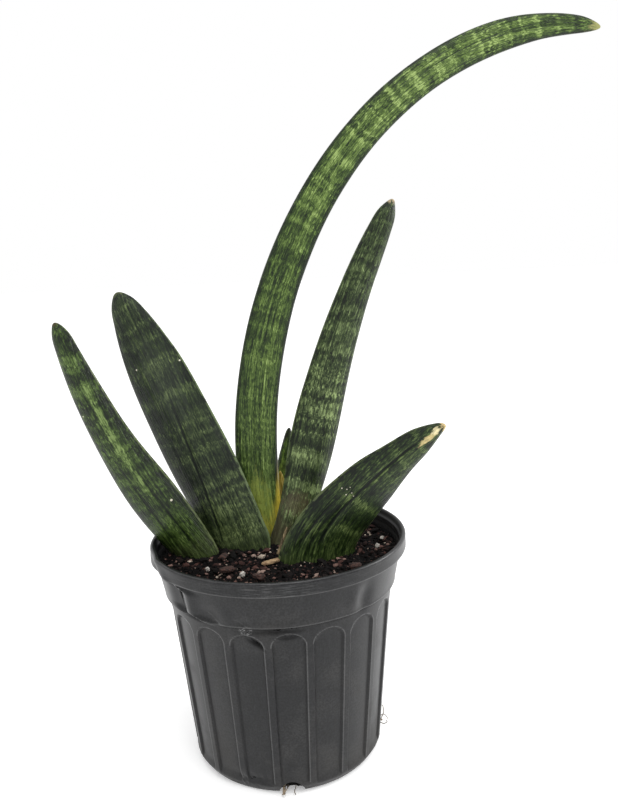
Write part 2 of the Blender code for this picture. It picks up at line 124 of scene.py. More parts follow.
def mark(thing, name, values, kind="FLOAT_VECTOR", key="vector"):
    """Write one value or vector for each vertex, for the material to read."""
    layer = thing.data.attributes.new(name, kind, "POINT")
    layer.data.foreach_set(key, np.asarray(values, np.float32).ravel())


def finish_piece(thing, node, smooth_angle=None):
    """Smooth shading, a place under the root body, and the frame's own piece hidden."""
    take(thing)
    if smooth_angle is None:
        bpy.ops.object.shade_smooth()
    else:
        bpy.ops.object.shade_smooth_by_angle(angle=math.radians(smooth_angle))
    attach(thing, "root")
    if node:
        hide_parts(node)
    print(thing.name, len(thing.data.polygons), "faces")
    return thing


def ease(value, low, high):
    """0 below low, 1 above high, and a soft S between."""
    u = np.clip((np.asarray(value, float) - low) / (high - low), 0, 1)
    return u * u * (3 - 2 * u)


def hump(value, middle, wide):
    """1 in the middle, falling away softly on both sides."""
    return np.exp(-(((value - middle) / wide) ** 2))


# %% [markdown]
# ## Shader maths that reads like maths
# A wire is one output socket. With the operators below, `1 - mask * 0.5` adds the Math nodes by
# itself. Colours go through Mix nodes, because a Math node would turn them grey.


# %% A wire
class Wire:
    def __init__(self, tree, socket):
        self.tree, self.socket = tree, socket

    def math(self, operation, *values):
        node = self.tree.nodes.new("ShaderNodeMath")
        node.operation = operation
        for slot, value in zip(node.inputs, values):
            plug(self.tree, slot, value)
        return Wire(self.tree, node.outputs[0])

    def __add__(self, other):
        return self.math("ADD", self, other)

    def __sub__(self, other):
        return self.math("SUBTRACT", self, other)

    def __rsub__(self, other):
        return self.math("SUBTRACT", other, self)

    def __mul__(self, other):
        return self.math("MULTIPLY", self, other)

    def __truediv__(self, other):
        return self.math("DIVIDE", self, other)

    def __abs__(self):
        return self.math("ABSOLUTE", self)

    __radd__ = __add__
    __rmul__ = __mul__


def plug(tree, slot, value):
    if isinstance(value, Wire):
        tree.links.new(value.socket, slot)
    elif slot.type == "RGBA" and len(value) == 3:
        slot.default_value = (*value, 1)
    else:
        slot.default_value = value


# %% A finish under construction
class Finish:
    """A material. Its methods add nodes and give back wires."""

    def __init__(self, name, **constants):
        self.material = bpy.data.materials.new(name)
        self.material.use_nodes = True
        self.tree = self.material.node_tree
        self.shader = self.tree.nodes["Principled BSDF"]
        for socket, value in constants.items():
            self.shader.inputs[socket.replace("_", " ")].default_value = value

    def node(self, kind, settings=None, sockets=None, out=0):
        made = self.tree.nodes.new("ShaderNode" + kind)
        for key, value in (settings or {}).items():
            if key == "stops":
                ramp = made.color_ramp.elements
                while len(ramp) < len(value):
                    ramp.new(0.5)
                for stop, (place, colour) in zip(ramp, value):
                    stop.position = place
                    shade = colour if isinstance(colour, tuple) else (colour,) * 3
                    stop.color = (*shade, 1)
            else:
                setattr(made, key, value)
        for key, value in (sockets or {}).items():
            plug(self.tree, made.inputs[key], value)
        return Wire(self.tree, made.outputs[out])

    def place(self):
        return self.node("TexCoord", out="Object")

    def attribute(self, name, out="Vector"):
        return self.node("Attribute", {"attribute_name": name}, out=out)

    def split(self, vector):
        first = self.node("SeparateXYZ", sockets={0: vector})
        return [Wire(self.tree, first.socket.node.outputs[i]) for i in range(3)]

    def join(self, x, y, z):
        return self.node("CombineXYZ", sockets={0: x, 1: y, 2: z})

    def stretch(self, vector, scale, shift=(0, 0, 0)):
        return self.node("Mapping", sockets={"Vector": vector, "Scale": scale, "Location": shift})

    def noise(self, vector, scale=1.0, detail=2.0, rough=0.5, warp=0.0):
        sockets = {"Vector": vector, "Scale": scale, "Detail": detail}
        sockets |= {"Roughness": rough, "Distortion": warp}
        return self.node("TexNoise", sockets=sockets)

    def noise_along(self, value, scale=1.0, detail=2.0, rough=0.5):
        sockets = {"W": value, "Scale": scale, "Detail": detail, "Roughness": rough}
        return self.node("TexNoise", {"noise_dimensions": "1D"}, sockets)

    def cells(self, vector, scale, feature="F1", out="Distance"):
        sockets = {"Vector": vector, "Scale": scale}
        return self.node("TexVoronoi", {"feature": feature}, sockets, out)

    def step(self, value, low, high):
        """0 below low, 1 above high. With low above high it runs the other way."""
        sockets = {"Value": value, "From Min": low, "From Max": high}
        return self.node("MapRange", {"interpolation_type": "SMOOTHSTEP"}, sockets)

    def ramp(self, value, stops):
        return self.node("ValToRGB", {"stops": stops}, {"Fac": value})

    def mix(self, a, b, factor):
        return self.node("Mix", {"data_type": "RGBA"}, {0: factor, 6: a, 7: b}, 2)

    def tint(self, a, b):
        """One colour multiplied by another."""
        settings = {"data_type": "RGBA", "blend_type": "MULTIPLY"}
        return self.node("Mix", settings, {0: 1.0, 6: a, 7: b}, 2)

    def grey(self, value):
        """A number as a grey colour, to multiply a colour with."""
        return self.join(value, value, value)

    def bump(self, height, distance, strength=1.0):
        sockets = {"Height": height, "Distance": distance, "Strength": strength}
        return self.node("Bump", sockets=sockets)

    def end(self, **sockets):
        for name, value in sockets.items():
            plug(self.tree, self.shader.inputs[name.replace("_", " ")], value)
        return self.material


def wear(thing, material):
    """Give a piece its one material."""
    thing.data.materials.clear()
    thing.data.materials.append(material)


# %% [markdown]
# ## Camera, floor and light
# The camera stands a little above the rim and looks down about eleven degrees. A white floor and
# an even white surround give the soft look of a light tent, and two soft lamps shape the leaves
# and the pot's right side.

# %% Camera
CAMERA_PLACE = (0, -0.4638, 0.3031)
PITCH, YAW, ROLL = 0.187972, 0.047647, -0.045902
camera = bpy.data.objects.new("camera", bpy.data.cameras.new("camera"))
bpy.context.scene.collection.objects.link(camera)
camera.data.lens = 36.387
camera.data.sensor_width = 36
camera.data.clip_start = 0.01
turn = Matrix.Rotation(-YAW, 3, "Z") @ Matrix.Rotation(math.pi / 2 - PITCH, 3, "X")
turn = turn @ Matrix.Rotation(ROLL, 3, "Z")
camera.matrix_world = Matrix.Translation(CAMERA_PLACE) @ turn.to_4x4()
bpy.context.scene.camera = camera

# %% Floor and surround
deselect()
bpy.ops.mesh.primitive_plane_add(size=14, location=(0, 0, -0.3 * MM))
floor = named("floor")
paper = Finish("floor_paper", Roughness=0.9, Emission_Strength=0.30, Specular_IOR_Level=0.1)
wear(floor, paper.end(Base_Color=(0.93, 0.93, 0.93), Emission_Color=(1, 1, 1)))

world = bpy.data.worlds.new("surround")
bpy.context.scene.world = world
world.use_nodes = True
world.node_tree.nodes["Background"].inputs["Color"].default_value = (1, 1, 1, 1)
world.node_tree.nodes["Background"].inputs["Strength"].default_value = 1.0
bpy.context.scene.view_settings.view_transform = "Standard"


# %% Lamps
def lamp(name, place, aim, size, power):
    light = bpy.data.lights.new(name, "AREA")
    light.shape = "DISK"
    light.size = size
    light.energy = power
    thing = bpy.data.objects.new(name, light)
    bpy.context.scene.collection.objects.link(thing)
    thing.location = place
    thing.rotation_euler = (Vector(aim) - Vector(place)).to_track_quat("-Z", "Y").to_euler()


lamp("key_above", (0.20, -0.60, 1.45), (0, 0, 0.2), 0.9, 7)
lamp("fill_right", (1.1, 0.15, 0.55), (0, 0, 0.12), 0.5, 7)

# %% [markdown]
# ## The pot
# The real pot is moulded in one go, with a wall about a millimetre thick. Everything about it but
# the flutes and the dents is round, so its section is drawn once, point by point, and spun about
# the middle. The section runs up the outside, over the rolled lip and down the inside, which
# makes the wall a closed skin. The flutes and dents then move the spun points in and out.

# %% The section of the pot, in millimetres
LEDGE_Z, WALL = 107.0, 1.1


def wall_radius(z):
    return 57.5 + (67.1 - 57.5) * (z - 5.5) / (LEDGE_Z - 5.5)


def collar_radius(z):
    return 69.0 + (72.9 - 69.0) * (z - LEDGE_Z) / 20


def pot_section():
    outside = [(0, 0), (20, 0), (40, 0), (50, 0), (53.0, 0), (53.8, 0.3), (54.7, 1.3)]
    outside += [(55.6, 2.6), (56.5, 3.9), (57.2, 4.9)]
    heights = [6, 7.2, 8.6, 10, 12, 15, 19, 24, 30, 37, 45, 54, 63, 71, 78, 84, 88]
    heights += list(np.arange(90.5, 105.2, 0.55))
    outside += [(wall_radius(z), z) for z in heights]
    outside += [(66.75, 105.7), (66.8, 106.3), (67.2, 106.6), (68.3, 106.65), (68.9, 106.8)]
    outside += [(69.2, 107.15), (69.25, 107.6)]
    outside += [(collar_radius(z), z) for z in np.arange(108.3, 126.2, 0.95)]
    outside += [(72.9, 126.35), (73.05, 126.7), (73.5, 126.85), (75.2, 126.85), (75.75, 126.95)]
    outside += [(75.98, 127.3), (76, 128.0), (76, 129.5), (75.9, 131.6), (75.98, 133.3)]
    outside += [(75.9, 134), (75.6, 134.55), (75.1, 134.9), (74.6, 135.0)]
    inside = [(74.0, 134.9), (73.55, 134.5), (73.35, 133.8), (73.3, 132.6), (73.0, 131.8)]
    inside += [(72.4, 131.2), (72.1, 130.2), (71.95, 128), (71.9, 126.4)]
    inside += [(collar_radius(z) - WALL, z) for z in np.arange(124.5, 108.5, -1.9)]
    inside += [(67.2, 107.7), (66.2, 106.9), (66.0, 106.0)]
    heights = [*np.arange(104.6, 90, -1.1), 88, 84, 76, 66, 54, 42, 30, 19, 12, 8, 6]
    inside += [(wall_radius(z) - WALL, z) for z in heights]
    inside += [(54.6, 3.2), (53.2, 1.8), (52.0, 1.2), (30, 1.2), (0, 1.2)]
    return [Vector((r * MM, 0, z * MM)) for r, z in outside + inside]


# %% Draw the section and spin it
POT_COLUMNS = 576
section = pot_section()
deselect()
bpy.ops.mesh.primitive_plane_add(size=1 * MM, location=section[0])
pot = named("pot_shell")
bpy.ops.object.transform_apply(location=True, rotation=True, scale=True)
bm = edit(pot)
for vert in list(bm.verts)[1:]:
    bm.verts.remove(vert)
bm.verts.ensure_lookup_table()
bm.verts[0].co = section[0]
bm.verts[0].select = True
bmesh.update_edit_mesh(pot.data)
for here, after in zip(section, section[1:]):
    bpy.ops.mesh.extrude_region_move(TRANSFORM_OT_translate={"value": after - here})
bpy.ops.mesh.select_all(action="SELECT")
bpy.ops.mesh.spin(steps=POT_COLUMNS, angle=2 * math.pi, center=(0, 0, 0), axis=(0, 0, 1))
bpy.ops.mesh.select_all(action="SELECT")
bpy.ops.mesh.remove_doubles(threshold=0.005 * MM)
bpy.ops.mesh.normals_make_consistent(inside=False)
bpy.ops.object.mode_set(mode="OBJECT")
print("spun", len(section), "points into", len(pot.data.vertices))

# %% [markdown]
# ### Flutes and dents
# Each flute is a shallow panel with an arched top, pressed 1.3 mm into the wall, and a narrow rib
# is left between two of them. This pot has been handled: the collar is folded in on the left, a
# flute near the front has popped out and gone white at its crease, and the foot is knocked flat.
# Both are written as how far the wall moves in or out at an azimuth, in degrees, and a height, in
# millimetres. The single dents are rows of (push, azimuth, height, how wide, how tall).

# %% How far the wall moves
FLUTES, FRONT_FLUTE, FLUTE_DEPTH = 18, -88.0, 1.3
PITCH_DEG = 360 / FLUTES
HALF_SHARE, HALF_WIDTH = 0.41, 8.6  # half a flute's width, in pitches and in millimetres
ARCH_LOW, ARCH_HIGH = 94.0, 101.8
FOLD = [(104, -126), (107, -128.3), (110, -137.7), (122.4, -137.3), (127.7, -150.8), (133, -158)]
CREASE_START, CREASE_END = (-106.7, 99.7), (-99.9, 93.4)
LEDGE_BULGE = -93
DENTS = [
    (-1.0, -124, 112, 5, 4), (0.6, -116, 111, 4, 5),  # beside the fold
    (-1.7, -49.8, 114, 3.6, 8), (0.8, -57, 115, 4, 8),  # the collar's dent on the right
    (-1.8, -116, 6.5, 13, 4.5),  # the flattened foot
    (-1.9, LEDGE_BULGE, 104.4, 12, 1.9), (1.2, -92, 108, 12, 2.4),  # under the ledge, and on it
    (-0.8, -108, 109.5, 4, 2.2),
]


def flute_turns(azimuth):
    """How many flutes round from the front one, with whole numbers halfway between two."""
    return (azimuth - FRONT_FLUTE) / PITCH_DEG + 0.5


def flute_edge(azimuth, z):
    """Millimetres inside the nearest flute's edge, less than nothing on a rib."""
    turns = flute_turns(azimuth)
    share = np.abs(turns - np.floor(turns) - 0.5) / HALF_SHARE
    up = np.clip((z - ARCH_LOW) / (ARCH_HIGH - ARCH_LOW), 0, None)
    return (1 - np.hypot(share, up)) * HALF_WIDTH


def flute_inset(azimuth, z):
    return FLUTE_DEPTH * ease(flute_edge(azimuth, z), 0.0, 0.95) * ease(z, 4.0, 10.0)


def beside_fold(azimuth, z):
    """Degrees to the right of the collar's fold."""
    return azimuth - np.interp(z, *zip(*FOLD))


def above_crease(azimuth, z):
    """Millimetres above the slanting crease across the popped flute's crown."""
    (a, high), (b, low) = CREASE_START, CREASE_END
    return (z - high) + (azimuth - a) * (high - low) / (b - a)


def above_bend(azimuth, z):
    """Millimetres above the smaller, bowed crease in the flute beside it."""
    return (z - 99.2) - (azimuth - FRONT_FLUTE) ** 2 * 0.02


def away(azimuth, z, middle, height, wide, tall):
    """A soft round spot, 1 in its middle, wide degrees by tall millimetres."""
    turn = (azimuth - middle + 180) % 360 - 180
    return np.exp(-((turn / wide) ** 2) - ((z - height) / tall) ** 2)


def dents(azimuth, z):
    """Millimetres outward, less than nothing inward."""
    collar = ease(z, 104, 108) * (1 - 0.7 * ease(z, 123, 129))
    fold = beside_fold(azimuth, z)
    out = collar * (2.0 * hump(fold, 3.0, 4.2) - 2.2 * hump(fold, -6.0, 5.5))
    for push, middle, height, wide, tall in DENTS:
        out += push * away(azimuth, z, middle, height, wide, tall)
    # the popped flute, pushed out over its crown and sharply creased below, and a smaller one
    out += 1.2 * away(azimuth, z, -107, 98, 8, 8) * ease(azimuth, -118, -114)
    out -= 2.1 * hump(above_crease(azimuth, z), 0, 1.2) * away(azimuth, z, -103.5, 96.8, 5, 5)
    out -= 0.9 * hump(above_bend(azimuth, z), 0, 0.9) * away(azimuth, z, -88, 98, 6, 6)
    # the whole rim is a little out of round
    out += 0.3 * np.sin(np.radians(azimuth) * 2 + 0.6) * ease(z, 40, 120)
    return out


# %% Move the spun points
points = get_points(pot)
radius = np.hypot(points[:, 0], points[:, 1]) / MM
azimuth = np.degrees(np.arctan2(points[:, 1], points[:, 0]))
# the spun columns are even, but a rib's edges need them closer together
EVEN, CLOSER = [0, 0.125, 0.3125, 0.6875, 0.875, 1], [0, 0.075, 0.145, 0.855, 0.925, 1]
turns = flute_turns(azimuth)
whole = np.floor(turns)
warp = np.interp(turns - whole, EVEN, CLOSER)
azimuth = FRONT_FLUTE + (whole + warp - 0.5) * PITCH_DEG
points[:, 0] = radius * np.cos(np.radians(azimuth)) * MM
points[:, 1] = radius * np.sin(np.radians(azimuth)) * MM
azimuth = (azimuth + 240) % 360 - 240  # counted so that no dent lies across the jump
height = points[:, 2] / MM
inset = np.where(height < 105, flute_inset(azimuth, height), 0)
share = ease(radius, 45, 54)  # the flat base stays round
crumple = np.array([noise.noise(Vector((a * 0.55, h * 0.6, 3))) for a, h in zip(azimuth, height)])
crumple *= 0.9 * away(azimuth, height, -107.5, 104.3, 5, 3.4) + 0.9 * away(
    azimuth, height, -112, 7, 14, 4)
moved = radius + share * (dents(azimuth, height) - inset + crumple)
scale = np.where(radius > 1e-6, moved / np.maximum(radius, 1e-6), 1)
points[:, 0] *= scale
points[:, 1] *= scale
set_points(pot, points)
print("flutes", FLUTES, "deepest inward", round(float((moved - radius).min()), 2), "mm")

# %% [markdown]
# ### Drain holes
# Four half-round holes are cut through the corner of the base, a quarter turn apart. A bar is
# modelled once along the radius, copied three times and joined, and one Boolean takes them out.


# %% Cut the drain holes
def radial_bars(name, radius, start, length):
    bars = []
    for k in range(4):
        turn = math.radians(-90 + 90 * k)
        middle = Vector((math.cos(turn), math.sin(turn), 0)) * (start + length / 2) * MM
        deselect()
        bpy.ops.mesh.primitive_cylinder_add(
            vertices=40, radius=radius * MM, depth=length * MM,
            location=(middle.x, middle.y, 0.5 * MM), rotation=(0, math.pi / 2, turn))
        bars.append(named(name))
    deselect()
    for bar in bars:
        bar.select_set(True)
    bpy.context.view_layer.objects.active = bars[0]
    bpy.ops.object.join()
    bpy.ops.object.transform_apply(location=True, rotation=True, scale=True)
    return bars[0]


bars = radial_bars("hole_bars", 7.2, 47, 20)
apply(pot, "BOOLEAN", operation="DIFFERENCE", solver="EXACT", object=bars)
bpy.data.objects.remove(bars)
print("pot", len(pot.data.polygons), "faces after the holes")

# %% [markdown]
# ### Satin black plastic
# Moulded polypropylene is nearly black and takes its grey from a satin sheen. Dust lies in soft
# patches near the foot, the lip is scuffed lengthwise by stacking, and the stretched crease has
# gone white. Fine scratches run up and down, the way a pot slides out of its neighbour.


# %% Pot finish
MID_RADIUS = 70  # turns an angle into millimetres round the wall
LIP_WIDTH = 1.4


def pot_finish():
    make = Finish("satin_black_plastic", IOR=1.46, Specular_IOR_Level=0.38)
    spot = make.place()
    x, y, z = make.split(spot)
    turn = make.node("Math", {"operation": "ARCTAN2"}, {0: y, 1: x})
    along = turn * MID_RADIUS
    up = z * 1000
    flat = make.join(along, up, 0)
    cloud = make.noise(spot, 38, 4, 0.6)
    grit = make.noise(spot, 900, 2, 0.6)
    drag = make.noise(make.stretch(flat, (2.6, 0.05, 1)), 1, 3, 0.65)
    rub = make.noise(make.stretch(flat, (0.10, 2.2, 1)), 1, 3, 0.65)
    on_lip = make.step(up, 126.8, 127.6)
    front = make.step(abs(along + 1.62 * MID_RADIUS), 26, 4)
    scuff = make.step(rub, 0.50, 0.74) * on_lip * (0.30 + front * 0.70)
    scratch = make.step(drag, 0.62, 0.76) * (1 - on_lip)
    low = make.step(up, 46, 3)
    right = make.step(along, -75, -30) * make.step(along, 25, 0)
    dust = make.step(cloud + low * 0.18 + right * low * 0.16, 0.52, 0.86)
    # the white crease beside the popped flute
    du = (along + math.radians(107.6) * MID_RADIUS) / 4.6
    dv = (up - 104.4) / 3.0
    near = make.step(du * du + dv * dv, 1.0, 0.15)
    crack = make.step(make.noise(make.stretch(flat, (0.35, 1.1, 1)), 1, 4, 0.75, 1.2), 0.52, 0.62)
    white = near * crack
    # real wear on the edges, together with painted highlights on the rib edges, the fold's ridges,
    # the ledge, the lip and the rim
    worn = make.step(make.attribute("worn", "Fac") * (0.4 + grit * 0.6 + cloud * 0.7), 0.25, 1.2)
    base = make.mix((0.0045, 0.0047, 0.0055), (0.0095, 0.0095, 0.0100), make.step(cloud, 0.4, 0.62))
    base = make.tint(base, make.grey(make.step(grit, 0.3, 0.7) * 1.3 + 0.35))
    base = make.mix(base, (0.10, 0.095, 0.088), dust * 0.19 + make.step(grit, 0.66, 0.76) * 0.05)
    base = make.mix(base, (0.16, 0.16, 0.16), scuff * 0.62 + scratch * 0.12 + worn * 0.40)
    # painted shade: dark lines beside the ribs, under the ledge and lip, in the creases, left of
    # the fold and inside the rim
    groove = make.attribute("groove", "Fac")
    base = make.mix(base, (0.0015, 0.0015, 0.0015), groove * 0.85)
    base = make.mix(base, (0.42, 0.42, 0.42), white * 0.75)
    rough = 0.30 + cloud * 0.12 + dust * 0.22 + scuff * 0.16 + white * 0.2 + groove * 0.3
    relief = grit * 0.5 + drag * 0.25 + cloud * 0.7
    return make.end(Base_Color=base, Roughness=rough, Normal=make.bump(relief, 0.00012, 0.5))


# %% Where the pot shows wear and painted highlights, and where painted shade lies
after = get_points(pot)
ring = np.degrees(np.arctan2(after[:, 1], after[:, 0]))
ring = (ring + 240) % 360 - 240
tall = after[:, 2] / MM
reach = np.hypot(after[:, 0], after[:, 1]) / MM
outer = ease(reach, wall_radius(tall) - 2.6, wall_radius(tall) - 1.9)
edge = flute_edge(ring, tall)
fold = beside_fold(ring, tall)
on_wall = outer * (tall < 104) * (tall > 7)
on_collar = outer * (tall > 106)
# painted highlight: the right half of each rib is lit paler, and the fold's ridges and the ledge,
# lip and rim edges are painted pale, on top of real edge wear
lit_side = (flute_turns(ring) % 1 > 0.5) * 0.8 + 0.2
worn = hump(edge, -0.25, 0.4) * on_wall * np.maximum(lit_side, tall > ARCH_LOW)
ridge_highlight = 0.8 * hump(fold, 2.5, 2.4) * (tall < 132)
ridge_highlight += 0.8 * hump(ring + (tall - 111) * 1.1, -122.5, 0.9) * (tall < 114)
ridge_highlight += 0.6 * hump(ring + (tall - 111) * 1.4, -110.5, 0.9) * (tall < 113)
worn += ridge_highlight * on_collar * 0.9
for pale_and_sheen, height, wide in ((0.8, 107.3, 0.5), (0.9, 127.3, 0.4), (0.7, 134.6, 0.4)):
    worn += pale_and_sheen * hump(tall, height, wide) * outer
mark(pot, "worn", np.clip(worn, 0, 1), "FLOAT", "value")
# painted shade where the wall lies in shade: beside each rib, under the ledge and the lip, in the
# creases, left of the fold and inside the rim
groove = 0.5 * hump(edge, 1.0, 0.45) * on_wall
groove += hump(tall, 105.9, 0.8) * outer * (0.5 + 0.5 * away(ring, tall, -92, 105, 13, 9))
groove += 0.9 * away(ring, tall, LEDGE_BULGE, 104.9, 12, 1.7)
groove += 1.2 * hump(above_crease(ring, tall), -1.1, 0.9) * away(ring, tall, -103.5, 96.2, 4.5, 4)
groove += 0.9 * hump(above_bend(ring, tall), -0.6, 0.8) * away(ring, tall, -88, 98, 5, 5)
groove += hump(tall, 126.4, 0.4) * outer
groove += 0.7 * on_collar * hump(fold, -4.5, 3.2) * (tall < 131)
groove += ease(RIM_RADIUS - LIP_WIDTH - reach, 0, 0.7) * (tall > 131.5)
mark(pot, "groove", np.clip(groove, 0, 1), "FLOAT", "value")
wear(pot, pot_finish())
finish_piece(pot, "pot", 42)

# %% [markdown]
# ## The leaves
# A leaf of this plant is a stiff, thick blade that grows as one piece. In the frame each leaf is a
# stack of twelve-sided rings that ends in a tip. Walking from the tip, ring after ring, gives the
# leaf's middle line, which way its broad face looks, its width, its thickness and how far its
# margins curl back. A fine tube is then shaped along those numbers.


# %% Read a leaf from the frame
def read_leaf(node):
    bm = bmesh.new()
    bm.from_mesh(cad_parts[node].data)
    bmesh.ops.remove_doubles(bm, verts=bm.verts, dist=1e-6)
    bm.verts.index_update()
    high = [v for v in bm.verts if v.co.z > SOIL_TOP + 5 * MM]
    tip = max(high, key=lambda v: len(v.link_edges))
    rings, seen, ring = [], {tip}, [tip]
    while ring:
        near = {e.other_vert(v) for v in ring for e in v.link_edges} - seen
        ring = sorted(near, key=lambda v: v.index)
        seen.update(ring)
        if ring:
            rings.append(np.array([v.co for v in ring], float))
    rings.reverse()
    top = np.array(tip.co, float)
    bm.free()
    rows = []
    for k, ring in enumerate(rings):
        middle = ring.mean(0)
        ahead = (rings[k + 1].mean(0) if k + 1 < len(rings) else top) - middle
        axes = np.linalg.svd(ring - middle)[2]
        out = axes[1] * (-1 if axes[1][1] > 0 else 1)
        along = axes[2] * (1 if axes[2] @ ahead > 0 else -1)
        across = np.cross(along, out)
        side = (ring - middle) @ across
        a, b = ring[np.argsort(np.abs(side))[:2]]
        core = (a + b) / 2
        thick = abs((a - b) @ out) / 2
        margin = (ring[side.argmax()] + ring[side.argmin()]) / 2
        rows.append((core, across, out, side.max(), thick, (core - margin) @ out))
    return rows, top


def smooth(where, stations, values):
    """A curve through the values, with no corner at any of them."""
    values = np.asarray(values, float).reshape(len(stations), -1)
    slopes = np.gradient(values, stations, axis=0)
    k = np.clip(np.searchsorted(stations, where, "right") - 1, 0, len(stations) - 2)
    step = (stations[k + 1] - stations[k])[:, None]
    u = (where - stations[k])[:, None] / step
    start, slope = values[k], slopes[k] * step
    end, last = values[k + 1], slopes[k + 1] * step
    curve = (2 * u**3 - 3 * u**2 + 1) * start + (u**3 - 2 * u**2 + u) * slope
    return curve + (3 * u**2 - 2 * u**3) * end + (u**3 - u**2) * last


# %% A straight tube of rows, ready to shape
def tube_of_rows(name, columns, bands):
    """A closed cylinder with its long sides cut into bands, by subdividing its long edges."""
    deselect()
    bpy.ops.mesh.primitive_cylinder_add(
        vertices=columns, radius=1, depth=1, end_fill_type="TRIFAN", location=(0, 0, 0))
    tube = named(name)
    left = bands
    while left > 1:
        part = next(n for n in range(min(left, 60), 0, -1) if left % n == 0)
        pick(tube, "edges", lambda e: abs(e.verts[0].co.z - e.verts[1].co.z) > 1e-6)
        bpy.ops.mesh.subdivide(number_cuts=part - 1)
        left //= part
        if part == 1:
            break
    deselect()
    return tube


# %% [markdown]
# ### Shaping one leaf
# Every row of the tube is laid on the leaf's line. The skin is not smooth: shallow furrows run
# the whole length, deeper creases show where a leaf is folding, and the tips are a little
# shrunken. Each point also keeps where it was on the straight leaf, in millimetres, so that the
# fibres and bands of the finish follow the bend.

# %% Shape a leaf
LEAF_COLUMNS = 96


FURROW, WAVE = 0.14, 0.35  # the skin's relief, in millimetres


def shape_leaf(name, node, bands, creases=()):
    rows, tip = read_leaf(node)
    cores = np.array([row[0] for row in rows])
    gaps = np.linalg.norm(np.diff(np.vstack([cores, tip]), axis=0), axis=1)
    stations = np.concatenate([[0], np.cumsum(gaps)])
    foot = int(np.argmin(np.abs(cores[:, 2] - SOIL_TOP)))
    stations -= stations[foot]
    length = stations[-1]
    u = np.linspace(0, 1, bands + 1)
    ending = 12 * MM  # the rows draw closer over this much of the tip
    where = stations[0] + (length - stations[0]) * u
    near_tip = where > length - ending
    back = (length - where[near_tip]) / ending
    where[near_tip] = length - ending * (0.02 + 0.98 * back) ** 1.6
    where[-1] = length - 0.02 * MM
    line = smooth(where, stations, np.vstack([cores, tip]))
    across = smooth(where, stations, np.vstack([[r[1] for r in rows], rows[-1][1]]))
    out = smooth(where, stations, np.vstack([[r[2] for r in rows], rows[-1][2]]))
    across /= np.linalg.norm(across, axis=1)[:, None]
    out /= np.linalg.norm(out, axis=1)[:, None]
    half = np.sqrt(np.maximum(smooth(where, stations, [r[3] ** 2 for r in rows] + [0])[:, 0], 0))
    thick = np.sqrt(np.maximum(smooth(where, stations, [r[4] ** 2 for r in rows] + [0])[:, 0], 0))
    bow = smooth(where, stations, [r[5] for r in rows] + [0])[:, 0]
    tube = tube_of_rows(name, LEAF_COLUMNS, bands)
    start = get_points(tube)
    row = np.rint((start[:, 2] + 0.5) * bands).astype(int)
    pole = np.hypot(start[:, 0], start[:, 1]) < 0.5
    angle = np.arctan2(start[:, 1], start[:, 0])
    cosine, sine = np.where(pole, 0, np.cos(angle)), np.where(pole, 0, np.sin(angle))
    s = where[row] / MM
    side = cosine * half[row]
    rise = sine * thick[row] - bow[row] * cosine**2
    # the skin's own relief, in millimetres along its normal
    seed = sum(map(ord, name))
    relief = np.zeros(len(start))
    for i, (c, d, sn) in enumerate(zip(cosine * half[row] / MM, s, sine)):
        relief[i] = noise.noise(Vector((c * 0.42, sn * 3 + seed, d * 0.006))) * FURROW
        relief[i] += noise.noise(Vector((c * 0.05, sn + seed, d * 0.022))) * WAVE
    for middle, drift, low, high, deep, wide in creases:
        line_at = middle + drift * (s - low) / (high - low)
        part = ease(s, low - 6, low + 6) * (1 - ease(s, high - 8, high + 8))
        relief -= deep * part * hump(side / MM, line_at, wide) * (sine > 0)
    fade = np.clip(half[row] / (5 * MM), 0, 1)
    relief *= fade * MM
    normal = np.stack([cosine * thick[row], sine * half[row]], 1)
    normal /= np.maximum(np.linalg.norm(normal, axis=1), 1e-9)[:, None]
    side = side + normal[:, 0] * relief
    rise = rise + normal[:, 1] * relief
    placed = line[row] + across[row] * side[:, None] + out[row] * rise[:, None]
    top = pole & (row == bands)
    placed[top] = line[-1] + (tip - line[-2]) * 0.05
    set_points(tube, placed)
    scaled = np.stack([cosine * half[row] / MM, sine * thick[row] / MM, s], 1)
    mark(tube, "grain", scaled)
    mark(tube, "section", np.stack([cosine, sine, s / (length / MM)], 1))
    take(tube)
    bpy.ops.object.mode_set(mode="EDIT")
    bpy.ops.mesh.select_all(action="SELECT")
    bpy.ops.mesh.normals_make_consistent(inside=False)
    deselect()
    print(name, "length", round(length / MM, 1), "mm, widest", round(2 * half.max() / MM, 1))
    return tube, length / MM


# %% [markdown]
# ### The skin of a leaf
# The skin is a dark waxy green. Paler bands cross it, and each band is really thousands of short
# lengthwise dashes, so its edges are jagged: every fibre reads the band pattern a few millimetres
# higher or lower than its neighbour. Fine dark lines run the whole length. The margins are a thin
# pale line, the foot is yellow or brown, and the tip is dry. One function makes all six skins
# from a few numbers each.


